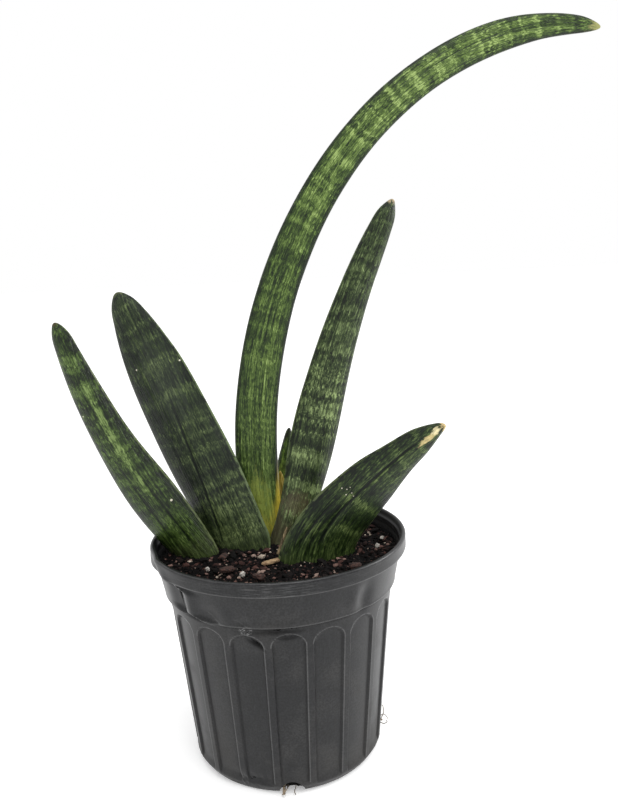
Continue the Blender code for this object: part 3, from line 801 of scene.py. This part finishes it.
# %% Leaf finish
def leaf_finish(name, length, look, creases):
    make = Finish(name, IOR=1.45, Specular_IOR_Level=0.32)
    grain = make.attribute("grain")
    x, _, s = make.split(grain)
    edge, face, t = make.split(make.attribute("section"))
    seed = look["seed"]
    # one random colour per fibre, one per dash, and the dark seam between two fibres
    long_cells = make.stretch(grain, (0.95, 0.95, 0.020), (seed, 0, 0))
    shift, glow, gloom = make.split(make.cells(long_cells, 1, "F1", "Color"))
    seam = make.step(make.cells(long_cells, 1, "DISTANCE_TO_EDGE"), 0.13, 0.02)
    short_cells = make.stretch(grain, (1.15, 1.15, 0.42), (0, seed, 0))
    hop, dash, dash_2 = make.split(make.cells(short_cells, 1, "F1", "Color"))
    fine = make.noise(make.stretch(grain, (1.9, 1.9, 0.40), (0, seed, 0)), 1, 3, 0.75)
    sway = make.noise(make.stretch(grain, (0.05, 0.05, 0.02), (0, 0, seed)), 1, 1)
    jag = s + (shift - 0.5) * look["jag"] * 0.5 + (hop - 0.5) * look["jag"] * 0.4 + sway * 9
    wide_band = make.noise_along(jag + seed * 7.3, look["pitch"], 2, 0.6)
    fine_band = make.noise_along(jag + seed * 3.1, look["pitch"] * 3, 2, 0.6)
    ripple = wide_band * 0.62 + fine_band * 0.38
    band = make.step(ripple, look["low"], look["low"] + 0.12)
    gap = make.step(ripple, look["low"] - 0.03, look["low"] - 0.12)
    strength = make.ramp(t, look["strength"])
    # painted light: the lower third is made paler, standing in for light in the shade between the
    # leaves
    tone = 0.345 + make.step(t, 0.30, 0) * look.get("low_painted_light", 0.12)
    tone = tone + (glow - 0.5) * 0.20 + (dash - 0.5) * 0.30 + (fine - 0.5) * 1.10
    tone = tone + band * strength * (0.24 + dash_2 * 0.26) - gap * strength * 0.17
    tone = tone - seam * 0.26 - make.step(gloom, 0.80, 0.95) * 0.14
    # slow change of tone, painted shade on the flanks, and lengthwise streaks of painted sheen and
    # painted shade that run the whole length
    cloud = make.noise(make.stretch(grain, (0.10, 0.10, 0.03)), 1, 2)
    tone = tone + (cloud - 0.5) * 0.25 - make.step(abs(edge), 0.70, 1.0) * look.get("round", 0.20)
    for middle, wide, lift in look.get("sheen_and_shade_stripes", ()):
        tone = tone + make.step(abs(edge - middle), wide, 0) * lift
    outside = make.step(face, 0, 0.2)

    def oval(px, ps, wide, tall, height=s):
        du, dv = (x - px) / wide, (height - ps) / tall
        return du * du + dv * dv

    # painted shade along each crease, with a painted highlight on the crease's lip beside it
    for middle, drift, low, high, deep, wide in creases:
        off = abs(x - middle - (s - low) * (drift / (high - low)))
        part = make.step(s, low - 6, low + 6) * make.step(s, high + 8, high - 8) * outside
        tone = tone - make.step(off, 1.0, 0.2) * part * min(1, deep) * 0.60
        tone = tone + make.step(abs(off - 1.4), 0.7, 0.0) * part * min(1, deep) * 0.16
    # pale bands across some leaves, and painted sheen where a long streak stands for a highlight
    for *place, lift in look.get("pale_and_sheen", ()):
        spot = oval(*place, jag - sway * 9)
        tone = tone + make.step(spot, 1.3, 0.2) * outside * lift * (0.5 + dash_2)
    stops = zip((0.0, 0.34, 0.68, 1.0), (look["dark"], look["mid"], look["light"], look["pale"]))
    colour = make.ramp(tone, list(stops))
    # foot: paler, yellow or brown, in ragged fibres, and higher up along the margins
    reach, foot, climb = look["foot"]
    top = reach * (1 + climb * (edge * edge * edge * edge - 0.4))
    ragged = s + (shift - 0.5) * reach * 0.25 + (cloud - 0.5) * reach * 0.35
    at_foot = make.step(ragged / top, 1.1, 0.5) * look.get("foot_strength", 0.9)
    streaks = make.grey(0.55 + fine * 0.5 + dash * 0.25 - seam * 0.12)
    colour = make.mix(colour, make.tint(foot, streaks), at_foot)
    rags = (fine - 0.5) * 3.0 + (dash - 0.5) * 0.8 + (shift - 0.5) * 0.8
    for *place, strong, hue in look.get("patches", ()):
        mask = make.step(oval(*place) + rags, 1.2, 0.3) * strong * outside
        colour = make.mix(colour, make.tint(hue, make.grey(0.45 + fine * 0.6 + dash * 0.5)), mask)
    # tip: dry and tan, and the thin pale margin
    reach, tip = look["tip"]
    at_tip = make.step(length - s + (shift - 0.5) * reach * 0.8, reach, reach * 0.35)
    colour = make.mix(colour, tip, at_tip)
    rim = make.step(abs(edge), 0.955, 0.985) * make.step(dash + sway, 0.55, 0.95)
    colour = make.mix(colour, look["rim"], rim * look.get("rim_strength", 0.6))
    # tiny scars on the outer face
    for fx, fs, wide in look.get("flecks", ()):
        mask = make.step(oval(fx, fs, wide, wide), 1.2, 0.5) * outside
        colour = make.mix(colour, (0.66, 0.62, 0.50), mask)
    rough = 0.30 + fine * 0.14 + at_tip * 0.35 + at_foot * 0.12 - gap * 0.04
    relief = glow * 0.5 + fine * 0.6 - seam * 0.7 + at_tip * dash * 1.5
    return make.end(Base_Color=colour, Roughness=rough, Normal=make.bump(relief, 0.0003, 0.6))


# %% [markdown]
# ### Six skins
# Greens are linear values, from the darkest seam to the brightest dash. `strength` says how
# strongly the bands show from foot to tip, `pitch` how closely they follow each other, and `jag`
# how far one fibre's band is shifted from the next. `low` sets how much of the skin is band,
# `round` how much painted shade darkens the flanks, and the low lift how much paler the lower
# third is painted, as painted light in the shade between the leaves. Lengthwise streaks of
# painted sheen and painted shade are (place across, width, lift). Patches are (across, along,
# half width, half height, strength, colour), in millimetres, and pale bands and painted sheen
# are the same with a lift and no colour.
# `foot` is (reach, colour, climb at the margins), `tip` is (reach, colour), and flecks are
# (across, along, size).

# %% Leaf looks
LEAVES = {
    "leaf_far_left": {
        "bands": 240, "creases": [(-4, 1, -10, 60, 0.5, 1.2), (5, -1, 5, 60, 0.45, 1.2)],
        "look": {
            "seed": 1.7, "jag": 5, "pitch": 0.10, "low": 0.47,
            "dark": (0.002, 0.006, 0.001), "mid": (0.017, 0.034, 0.005),
            "light": (0.068, 0.112, 0.024), "pale": (0.17, 0.24, 0.075), "rim": (0.16, 0.20, 0.08),
            "strength": [(0, 0.35), (0.3, 0.6), (0.7, 1.0), (1, 0.8)],
            # the long streak right of the middle is painted sheen, and the dark streak near the
            # margin painted shade
            "sheen_and_shade_stripes": [(0.85, 0.3, -0.10)], "pale_and_sheen": [(2.4, 84, 2.2, 40, 0.46)], "low_painted_light": 0.28,
            "foot": (14, (0.05, 0.06, 0.025), 0.3), "foot_strength": 0.45,
            "tip": (1.8, (0.06, 0.05, 0.02)),
            "flecks": [(10.2, 38.6, 0.75), (-7.4, 106, 0.4)],
        },
    },
    "leaf_left": {
        "bands": 240, "creases": [(-6, 8, 10, 100, 0.9, 1.6), (-9.4, 6.7, 57.2, 9.8, 0.5, 0.9),
                                  (9, -3, 0, 60, 0.4, 1.4)],
        "look": {
            "seed": 4.1, "jag": 5, "pitch": 0.10, "low": 0.49,
            "dark": (0.001, 0.004, 0.001), "mid": (0.016, 0.028, 0.009),
            "light": (0.062, 0.088, 0.030), "pale": (0.16, 0.21, 0.08), "rim": (0.14, 0.19, 0.08),
            "strength": [(0, 0.9), (0.25, 0.8), (0.7, 0.65), (1, 0.7)],
            "sheen_and_shade_stripes": [(0.15, 0.5, 0.06), (-0.55, 0.25, -0.12)],
            "foot": (9, (0.045, 0.065, 0.025), 0.3), "foot_strength": 0.4,
            "tip": (2.5, (0.09, 0.10, 0.05)),
            "flecks": [(-9.5, 123.9, 0.5), (16.5, 118.3, 0.5)],
            "pale_and_sheen": [(6, 24, 14, 4, 0.30)], "low_painted_light": 0.32,
            # the grey patch high on the leaf is painted sheen
            "patches": [(2, 112, 12, 30, 0.22, (0.060, 0.070, 0.056))],
            "rim_strength": 0.8,
        },
    },
    "leaf_arching": {
        "bands": 480, "creases": [(2, 0, 20, 160, 0.3, 1.6)],
        "look": {
            "seed": 7.9, "jag": 4, "pitch": 0.14, "low": 0.49, "round": 0.12,
            "dark": (0.003, 0.010, 0.001), "mid": (0.030, 0.058, 0.009),
            "light": (0.115, 0.180, 0.038), "pale": (0.28, 0.38, 0.12), "rim": (0.02, 0.02, 0.015),
            "strength": [(0, 0.1), (0.15, 0.35), (0.3, 0.5), (0.55, 0.6), (0.72, 1.0), (0.88, 0.9),
                         (1, 0.4)],
            # the pale middle streaks are painted sheen, and the dark margin streaks painted shade
            "sheen_and_shade_stripes": [(0.30, 0.34, 0.16), (-0.40, 0.22, 0.10), (0.93, 0.2, -0.32),
                        (-0.95, 0.2, -0.2)],
            "foot": (31, (0.62, 0.49, 0.05), 1.15), "foot_strength": 0.95,
            "tip": (9, (0.26, 0.26, 0.09)), "low_painted_light": 0.14,
            "pale_and_sheen": [(0, 75, 30, 60, 0.08), (0, 300, 30, 110, 0.14)],
            "patches": [(-1, 13, 9, 27, 0.62, (0.42, 0.50, 0.10))],
        },
    },
    "leaf_upright": {
        "bands": 288, "creases": [(3, 1, 10, 120, 0.35, 1.2)],
        "look": {
            "seed": 11.3, "jag": 5.5, "pitch": 0.11, "low": 0.46,
            "dark": (0.002, 0.005, 0.001), "mid": (0.021, 0.037, 0.009),
            "light": (0.090, 0.125, 0.045), "pale": (0.25, 0.33, 0.13), "rim": (0.14, 0.18, 0.07),
            "strength": [(0, 0.5), (0.15, 0.9), (0.4, 1.1), (0.6, 0.7), (1, 0.5)],
            "foot": (20, (0.055, 0.048, 0.022), 0.3), "tip": (3, (0.40, 0.32, 0.20)),
            "pale_and_sheen": [(0, 84, 13, 2.8, 0.42), (0, 97, 13, 2.2, 0.28), (-1, 58, 13, 4, 0.20),
                       (0, 172, 10, 3, 0.30)], "low_painted_light": 0.34,
            "patches": [(-2.5, 26, 9, 9, 0.55, (0.13, 0.105, 0.058))],
        },
    },
    "leaf_right": {
        "bands": 180, "creases": [(-5.3, 4.0, 14, 88, 1.0, 0.9), (-13, 3, 0, 40, 0.5, 1.0),
                                  (-9, 2, 0, 32, 0.4, 0.9)],
        "look": {
            "seed": 15.2, "jag": 5, "pitch": 0.10, "low": 0.50,
            "dark": (0.001, 0.004, 0.001), "mid": (0.016, 0.032, 0.006),
            "light": (0.075, 0.110, 0.032), "pale": (0.18, 0.24, 0.08), "rim": (0.12, 0.15, 0.06),
            "strength": [(0, 0.25), (0.3, 0.45), (0.6, 0.6), (1, 0.6)],
            "foot": (6, (0.03, 0.045, 0.012), 0.3), "foot_strength": 0.3,
            "tip": (3, (0.55, 0.42, 0.20)), "low_painted_light": 0.2,
            "pale_and_sheen": [(4, 40, 16, 3, 0.20), (8, 22, 12, 2.5, 0.16), (2, 62, 12, 3, 0.15)],
            "patches": [(0.7, 95, 1.7, 6, 0.95, (0.52, 0.42, 0.19)),
                        (-0.6, 101, 1.8, 3, 0.9, (0.70, 0.62, 0.36))],
            "flecks": [(-12.4, 41.3, 0.35), (-10, 42.6, 0.3), (-8.4, 40.2, 0.35), (-6.6, 42.8, 0.3),
                       (-4.5, 42.0, 0.35), (-9.4, 44.6, 0.28)],
        },
    },
    "new_shoot": {
        "bands": 90, "creases": [],
        "look": {
            "seed": 19.6, "jag": 4, "pitch": 0.10, "low": 0.50,
            "dark": (0.004, 0.012, 0.002), "mid": (0.070, 0.125, 0.020),
            "light": (0.20, 0.31, 0.05), "pale": (0.30, 0.42, 0.10), "rim": (0.14, 0.18, 0.06),
            "strength": [(0, 0.3), (1, 0.6)], "sheen_and_shade_stripes": [(0.9, 0.5, -0.35), (-0.3, 0.5, 0.22)],
            "foot": (30, (0.36, 0.32, 0.05), 0.3), "tip": (9, (0.02, 0.025, 0.012)),
        },
    },
}

# %% Make the leaves
FLARE = np.array((-7.0, -1.5, -2.0)) * MM


def flare_foot(piece):
    """The foot's left side spreads outward, where it clasps the stem."""
    points = get_points(piece)
    grain = np.empty(points.size)
    piece.data.attributes["grain"].data.foreach_get("vector", grain)
    across, _, along = grain.reshape(-1, 3).T
    flare = ease(-along, -44, -4) * ease(-across, -2, 12)
    set_points(piece, points + flare[:, None] * FLARE)


for node, row in LEAVES.items():
    piece, length = shape_leaf(node + "_blade", node, row["bands"], row["creases"])
    if node == "leaf_right":
        flare_foot(piece)
    wear(piece, leaf_finish(node + "_skin", length, row["look"], row["creases"]))
    finish_piece(piece, node)

# %% [markdown]
# ## The soil
# Potting mix is a dark mass of crumbs. Its body is one closed piece: a grid pressed into a round
# disc and roughened point by point, then its border is extruded down the inside of the pot and
# closed. Loose crumbs, one to five millimetres across, are strewn over it.


# %% The height of the soil
DOME, DOME_RADIUS = 1.2, 70  # how far the middle stands above the border, in millimetres


def soil_height(x, y):
    """The top of the soil in millimetres, at a place in millimetres."""
    far = math.hypot(x, y) / DOME_RADIUS
    rise = SOIL_TOP / MM + DOME * (1 - far * far) + noise.noise(Vector((x, y, 0)) * 0.045) * 0.9
    rise += noise.noise(Vector((x, y, 4)) * 0.16) * 1.4 + noise.noise(Vector((x, y, 8)) * 0.5) * 1.0
    near = noise.voronoi(Vector((x * 0.42, y * 0.42, 1)))[0][0]
    return rise + (0.35 - near) * 2.4 - 0.6


# %% The soil's body
SOIL_GRID, SOIL_RADIUS, SOIL_FLOOR = 230, 70.9, 1.6
deselect()
bpy.ops.mesh.primitive_grid_add(x_subdivisions=SOIL_GRID, y_subdivisions=SOIL_GRID, size=2)
soil = named("soil_body")
flat = get_points(soil)
gx, gy = flat[:, 0].copy(), flat[:, 1].copy()
x, y = gx * np.sqrt(1 - gy * gy / 2), gy * np.sqrt(1 - gx * gx / 2)
turn = np.degrees(np.arctan2(y, x))
turn = np.where(turn > 120, turn - 360, turn)
reach = SOIL_RADIUS + np.minimum(dents(turn, np.full(len(turn), 124.0)), 0.2)
x, y = x * reach, y * reach
z = np.array([soil_height(a, b) for a, b in zip(x, y)])
set_points(soil, np.stack([x, y, z], 1) * MM)
pick(soil, "edges", lambda e: e.is_boundary)
levels = [(66.6, 108.6), (65.2, 105.4), (64.0, 100), (59.0, 50), (54.9, 7), (51.2, SOIL_FLOOR)]
now_radius, now_height = SOIL_RADIUS, SOIL_TOP / MM
for wide, level in levels:
    drop = (0, 0, (level - now_height) * MM)
    bpy.ops.mesh.extrude_region_move(TRANSFORM_OT_translate={"value": drop})
    ratio = wide / now_radius
    bpy.ops.transform.resize(value=(ratio, ratio, 1), center_override=(0, 0, level * MM))
    now_radius, now_height = wide, level
bpy.ops.mesh.extrude_region_move(TRANSFORM_OT_translate={"value": (0, 0, 0)})
bpy.ops.mesh.merge(type="CENTER")
bpy.ops.mesh.select_all(action="SELECT")
bpy.ops.mesh.normals_make_consistent(inside=False)
deselect()
bars = radial_bars("recess_bars", 8.4, 52.2, 8)
apply(soil, "BOOLEAN", operation="DIFFERENCE", solver="EXACT", object=bars)
bpy.data.objects.remove(bars)
spots = get_points(soil) / MM
spots[:, 2] = np.maximum(spots[:, 2], SOIL_FLOOR)
set_points(soil, spots * MM)
# height above the smooth dome, which the finish turns into painted shade in the hollows
far = np.hypot(spots[:, 0], spots[:, 1]) / DOME_RADIUS
smooth_top = SOIL_TOP / MM + DOME * (1 - far * far)
mark(soil, "lift", np.clip(spots[:, 2] - smooth_top, -3, 3), "FLOAT", "value")
print("soil", len(soil.data.polygons), "faces")


# %% Where the plant comes out of the soil
def feet():
    """Ellipses on the soil, in millimetres, that loose crumbs keep out of."""
    found = []
    for node in LEAVES:
        rows, _ = read_leaf(node)
        core, across, out, half, thick, _ = min(rows, key=lambda r: abs(r[0][2] - SOIL_TOP))
        found.append((core / MM, across, out, half / MM, thick / MM))
    return found


FEET = feet()


def on_a_leaf(x, y, extra):
    for core, across, out, half, thick in FEET:
        gap = np.array([x, y, core[2]]) - core
        if (gap @ across / (half + extra)) ** 2 + (gap @ out / (thick + extra)) ** 2 < 1:
            return True
    return False


# %% Loose crumbs
CRUMB_REACH, CRUMB_EDGE = 69.5, 70.5  # where their middles and their far sides may be


def crumbs(name, count, small, large, seed, long=1.0):
    """Many small rough lumps strewn over the soil, joined in one piece, each with its own tint."""
    deselect()
    bpy.ops.mesh.primitive_ico_sphere_add(subdivisions=1, radius=1)
    pattern = named("crumb")
    shape = get_points(pattern)
    faces = [tuple(f.vertices) for f in pattern.data.polygons]
    bpy.data.objects.remove(pattern)
    rng = np.random.default_rng(seed)
    verts, polys, tints, lifts = [], [], [], []
    while len(tints) < count:
        turn, far = rng.uniform(0, 2 * math.pi), CRUMB_REACH * math.sqrt(rng.uniform())
        size = small + (large - small) * rng.uniform() ** 3
        px, py = far * math.cos(turn), far * math.sin(turn)
        if on_a_leaf(px, py, size * 0.6) or far + size > CRUMB_EDGE:
            continue
        lump = shape * rng.uniform(0.65, 1.15, (len(shape), 1)) * size
        lump = lump * np.array([rng.uniform(0.8, 1.5) * long, 1, rng.uniform(0.5, 0.9)])
        spin = Matrix.Rotation(rng.uniform(0, 2 * math.pi), 3, "Z")
        spin = spin @ Matrix.Rotation(rng.uniform(-0.5, 0.5), 3, "Y")
        lump = lump @ np.array(spin).T
        # painted shade: each crumb is darker towards its underside
        lifts += list(0.12 + 1.0 * ease(lump[:, 2] / size, -0.5, 0.6))
        lump += (px, py, soil_height(px, py) + size * 0.3)
        polys += [tuple(len(verts) + i for i in face) for face in faces]
        verts += [tuple(point * MM) for point in lump]
        tints.append(rng.uniform())
    mesh = bpy.data.meshes.new(name)
    mesh.from_pydata(verts, [], polys)
    thing = bpy.data.objects.new(name, mesh)
    bpy.context.scene.collection.objects.link(thing)
    mark(thing, "tone", np.repeat(tints, len(shape)), "FLOAT", "value")
    mark(thing, "lift", lifts, "FLOAT", "value")
    return thing


# %% [markdown]
# ### Soil and crumb finishes
# Wet peat is almost black, composted bark is red-brown, and a few grains are pale. The body mixes
# these in small cells, and each loose crumb takes one of them from its own tone.


# %% Earth finishes
EARTH = [(0.0, (0.0006, 0.0004, 0.0003)), (0.50, (0.004, 0.002, 0.0018)),
         (0.70, (0.026, 0.012, 0.010)), (0.85, (0.09, 0.042, 0.034)), (0.94, (0.24, 0.150, 0.125)),
         (0.985, (0.55, 0.46, 0.37))]


def earth_body_finish():
    make = Finish("earth", Roughness=0.92, Specular_IOR_Level=0.2)
    spot = make.place()
    tone, _, _ = make.split(make.cells(spot, 620, "F1", "Color"))
    cloud = make.noise(spot, 260, 3, 0.7)
    colour = make.ramp(tone * 0.55 + (cloud - 0.5) * 0.5, EARTH[:5])
    # painted shade: the lower a point lies in a hollow, the darker it is
    lift = make.attribute("lift", "Fac")
    colour = make.tint(colour, make.grey(make.step(lift, -1.6, 1.4) * 1.5 + 0.1))
    relief = make.noise(spot, 1100, 3, 0.7) + make.cells(spot, 700) * 0.8
    return make.end(Base_Color=colour, Normal=make.bump(relief, 0.0006, 0.8))


def crumb_finish():
    make = Finish("crumbs", Roughness=0.88, Specular_IOR_Level=0.2)
    spot = make.place()
    grain = make.noise(spot, 1500, 3, 0.7)
    tone = make.attribute("tone", "Fac")
    # painted shade on each crumb's underside, from its lift
    lift = make.attribute("lift", "Fac")
    colour = make.tint(make.ramp(tone, EARTH), make.grey((0.4 + grain) * lift))
    return make.end(Base_Color=colour, Normal=make.bump(grain, 0.0004, 0.8))


wear(soil, earth_body_finish())
finish_piece(soil, "soil", 60)
crumb_skin = crumb_finish()
for name, count, small, large, seed, long in (
    ("soil_crumbs_fine", 3600, 0.40, 1.3, 3, 1.0),
    ("soil_crumbs_coarse", 1000, 1.0, 2.5, 5, 1.2),
    ("soil_fibres", 170, 0.22, 0.40, 7, 5.0),
):
    piece = crumbs(name, count, small, large, seed, long)
    wear(piece, crumb_skin)
    finish_piece(piece, None, 30)

# %% [markdown]
# ## Bark, splinter and perlite
# The larger bits are single pieces in the frame. Each is copied, its loose triangles are merged,
# and it is subdivided and roughened: bark splits along its grain, perlite is a popped white foam.


# %% A refined copy of a frame node
def refined(name, node, cuts, rough, scale, stretch):
    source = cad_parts[node]
    thing = bpy.data.objects.new(name, source.data.copy())
    bpy.context.scene.collection.objects.link(thing)
    thing.data.name = name
    edit(thing)
    bpy.ops.mesh.select_all(action="SELECT")
    bpy.ops.mesh.remove_doubles(threshold=0.001 * MM)
    for _ in range(cuts):
        bpy.ops.mesh.subdivide(number_cuts=1, smoothness=0.25)
    deselect()
    points = get_points(thing)
    normals = np.array([v.normal for v in thing.data.vertices])
    squeeze = np.array(stretch)
    for i, point in enumerate(points / MM):
        where = Vector(point * squeeze) * scale
        push = noise.noise(where) + 0.5 * noise.noise(where * 2.3)
        points[i] += normals[i] * push * rough * MM
    set_points(thing, points)
    return thing


def flake_finish(name, dark, light, scale, grain=(1, 1, 1), rough=0.85):
    make = Finish(name, Roughness=rough)
    spot = make.stretch(make.place(), grain)
    cloud = make.noise(spot, scale, 4, 0.7)
    fleck = make.noise(spot, scale * 4, 2, 0.6)
    colour = make.mix(dark, light, make.step(cloud, 0.35, 0.65))
    colour = make.tint(colour, make.grey(0.6 + fleck * 0.8))
    relief = cloud + fleck * 0.5
    return make.end(Base_Color=colour, Normal=make.bump(relief, 0.0005, 0.7))


bark = flake_finish("composted_bark", (0.008, 0.004, 0.003), (0.070, 0.030, 0.021), 600)
wood = flake_finish("pale_wood", (0.16, 0.09, 0.045), (0.42, 0.29, 0.16), 300, (0.3, 1.6, 1))
foam = flake_finish("perlite_foam", (0.22, 0.20, 0.18), (0.66, 0.62, 0.56), 900, rough=0.95)
BITS = {  # kind: slot, finish, cuts, roughness, its scale, stretch along x y z, smooth angle
    "bark_chip": ("bark", bark, 3, 0.45, 0.55, (0.5, 1, 1.5), 35),
    "wood_splinter": ("pale_wood", wood, 3, 0.3, 0.5, (0.3, 1.5, 1), 35),
    "perlite": ("perlite", foam, 2, 0.35, 1.1, (1, 1, 1), 40),
}
for node in sorted(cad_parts):
    for kind, (slot, skin, cuts, rough, scale, stretch, angle) in BITS.items():
        if node.startswith(kind):
            piece = refined(node + "_rough", node, cuts, rough, scale, stretch)
            wear(piece, skin)
            finish_piece(piece, node, angle)

# %% [markdown]
# ## Sheath, scales, stem and roots
# The sheath is a yellow papery leaf that never grew out. It hugs the arching leaf's foot, with
# fine ribs along it and a brown torn edge. The dry scales are older ones, tan and brittle.


# %% Papery pieces
def paper_finish(name, dark, light, edge_tone, low, high, rough=0.55):
    """Paper with fibres that run up it, and a browner upper edge between two heights."""
    make = Finish(name, Roughness=rough)
    spot = make.place()
    fibre = make.noise(make.stretch(spot, (1, 1, 0.06)), 1500, 3, 0.65)
    cloud = make.noise(spot, 160, 3, 0.6)
    _, _, z = make.split(spot)
    colour = make.mix(dark, light, make.step(fibre * 0.5 + cloud * 0.5, 0.38, 0.62))
    brown = make.step(z * 1000 + (cloud - 0.5) * 22 + (fibre - 0.5) * 8, low, high)
    colour = make.mix(colour, edge_tone, brown)
    return make.end(Base_Color=colour, Normal=make.bump(fibre + cloud, 0.0005, 0.7))


sheath = refined("yellow_sheath_paper", "yellow_sheath", 2, 0.25, 0.25, (1, 1, 0.3))
# its upper edge is torn in waves, and its right flap is drawn down to a point
points = get_points(sheath)
torn = np.array([noise.noise(Vector((p[0], p[1], 0)) * 0.32) for p in points / MM])
flap = np.clip((points[:, 0] / MM - 3) / 8, 0, 1.4)
points[:, 2] -= ease(points[:, 2] / MM, 140, 166) * (flap * 11 + torn * 9 + 3) * MM
set_points(sheath, points)
wear(sheath, paper_finish("sheath_paper", (0.50, 0.36, 0.045), (0.86, 0.68, 0.22),
                          (0.34, 0.17, 0.05), 160, 174))
finish_piece(sheath, "yellow_sheath", 60)
scale_skin = paper_finish("scale_paper", (0.035, 0.025, 0.012), (0.40, 0.30, 0.16),
                          (0.30, 0.20, 0.10), 138, 150, 0.7)
for node, narrow in (("dry_scale_low", 0.35), ("dry_scale_high", 0.4)):
    piece = refined(node + "_paper", node, 2, 0.45, 0.35, (1, 1, 0.4))
    # the scales have dried narrow: each row is drawn in towards its own middle
    points = get_points(piece)
    slope = np.polyfit(points[:, 2], points[:, 0], 1)
    line = np.polyval(slope, points[:, 2])
    points[:, 0] = line + (points[:, 0] - line) * narrow
    set_points(piece, points)
    wear(piece, scale_skin)
    finish_piece(piece, node, 60)

# %% Stem and roots keep their frame shape
stem_skin = flake_finish("stem_skin", (0.20, 0.12, 0.05), (0.42, 0.27, 0.11), 120, rough=0.7)
root_skin = flake_finish("root_skin", (0.03, 0.022, 0.015), (0.32, 0.25, 0.17), 600, rough=0.8)
wear(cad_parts["rhizome"], stem_skin)
for node in ("root_front", "root_right"):
    wear(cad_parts[node], root_skin)


# %% [markdown]
# ## Fine roots at the drain holes
# Hair-thin roots curl out of the hole on the right and lie on the crumbs in the front one. Each is
# a curve with a round bevel, turned into a mesh.


# %% Fine roots
def fine_root(points, thick):
    curve = bpy.data.curves.new("fine_root", "CURVE")
    curve.dimensions = "3D"
    curve.bevel_depth = thick * MM
    curve.bevel_resolution = 1
    curve.resolution_u = 6
    curve.use_fill_caps = True
    line = curve.splines.new("NURBS")
    line.points.add(len(points) - 1)
    line.use_endpoint_u = True
    line.order_u = 3
    for spot, place in zip(line.points, points):
        spot.co = (*(Vector(place) * MM), 1)
    thing = bpy.data.objects.new("fine_root", curve)
    bpy.context.scene.collection.objects.link(thing)
    return thing


ROOTS = [  # thickness, then the points it passes near, in millimetres
    (0.30, (52, -2, 3), (56.5, -3, 6), (58.6, -3.6, 10), (60.4, -3, 14), (59.6, -1, 17)),
    (0.26, (52, 1, 3), (57.4, 0, 5), (60.0, -2, 4), (62.4, -4, 7), (61.2, -6.2, 9)),
    (0.22, (52, 3, 3), (57.0, 3, 5), (59.2, 2, 8.5), (62.0, 2.4, 8), (63, 1, 5.6)),
    (0.35, (-3, -48, 2.4), (-2, -54, 3.4), (-4, -57.5, 2.6), (-6, -58.5, 1.4)),
    (0.28, (2, -48, 2.4), (2.5, -54, 2.8), (0.6, -57.2, 2.0), (1.8, -59, 1.4)),
]
strands = [fine_root(path, thick) for thick, *path in ROOTS]
deselect()
for strand in strands:
    strand.select_set(True)
bpy.context.view_layer.objects.active = strands[0]
bpy.ops.object.convert(target="MESH")
bpy.ops.object.join()
hairs = named("fine_roots")
wear(hairs, flake_finish("fine_root_skin", (0.05, 0.04, 0.03), (0.40, 0.34, 0.26), 700))
finish_piece(hairs, None)
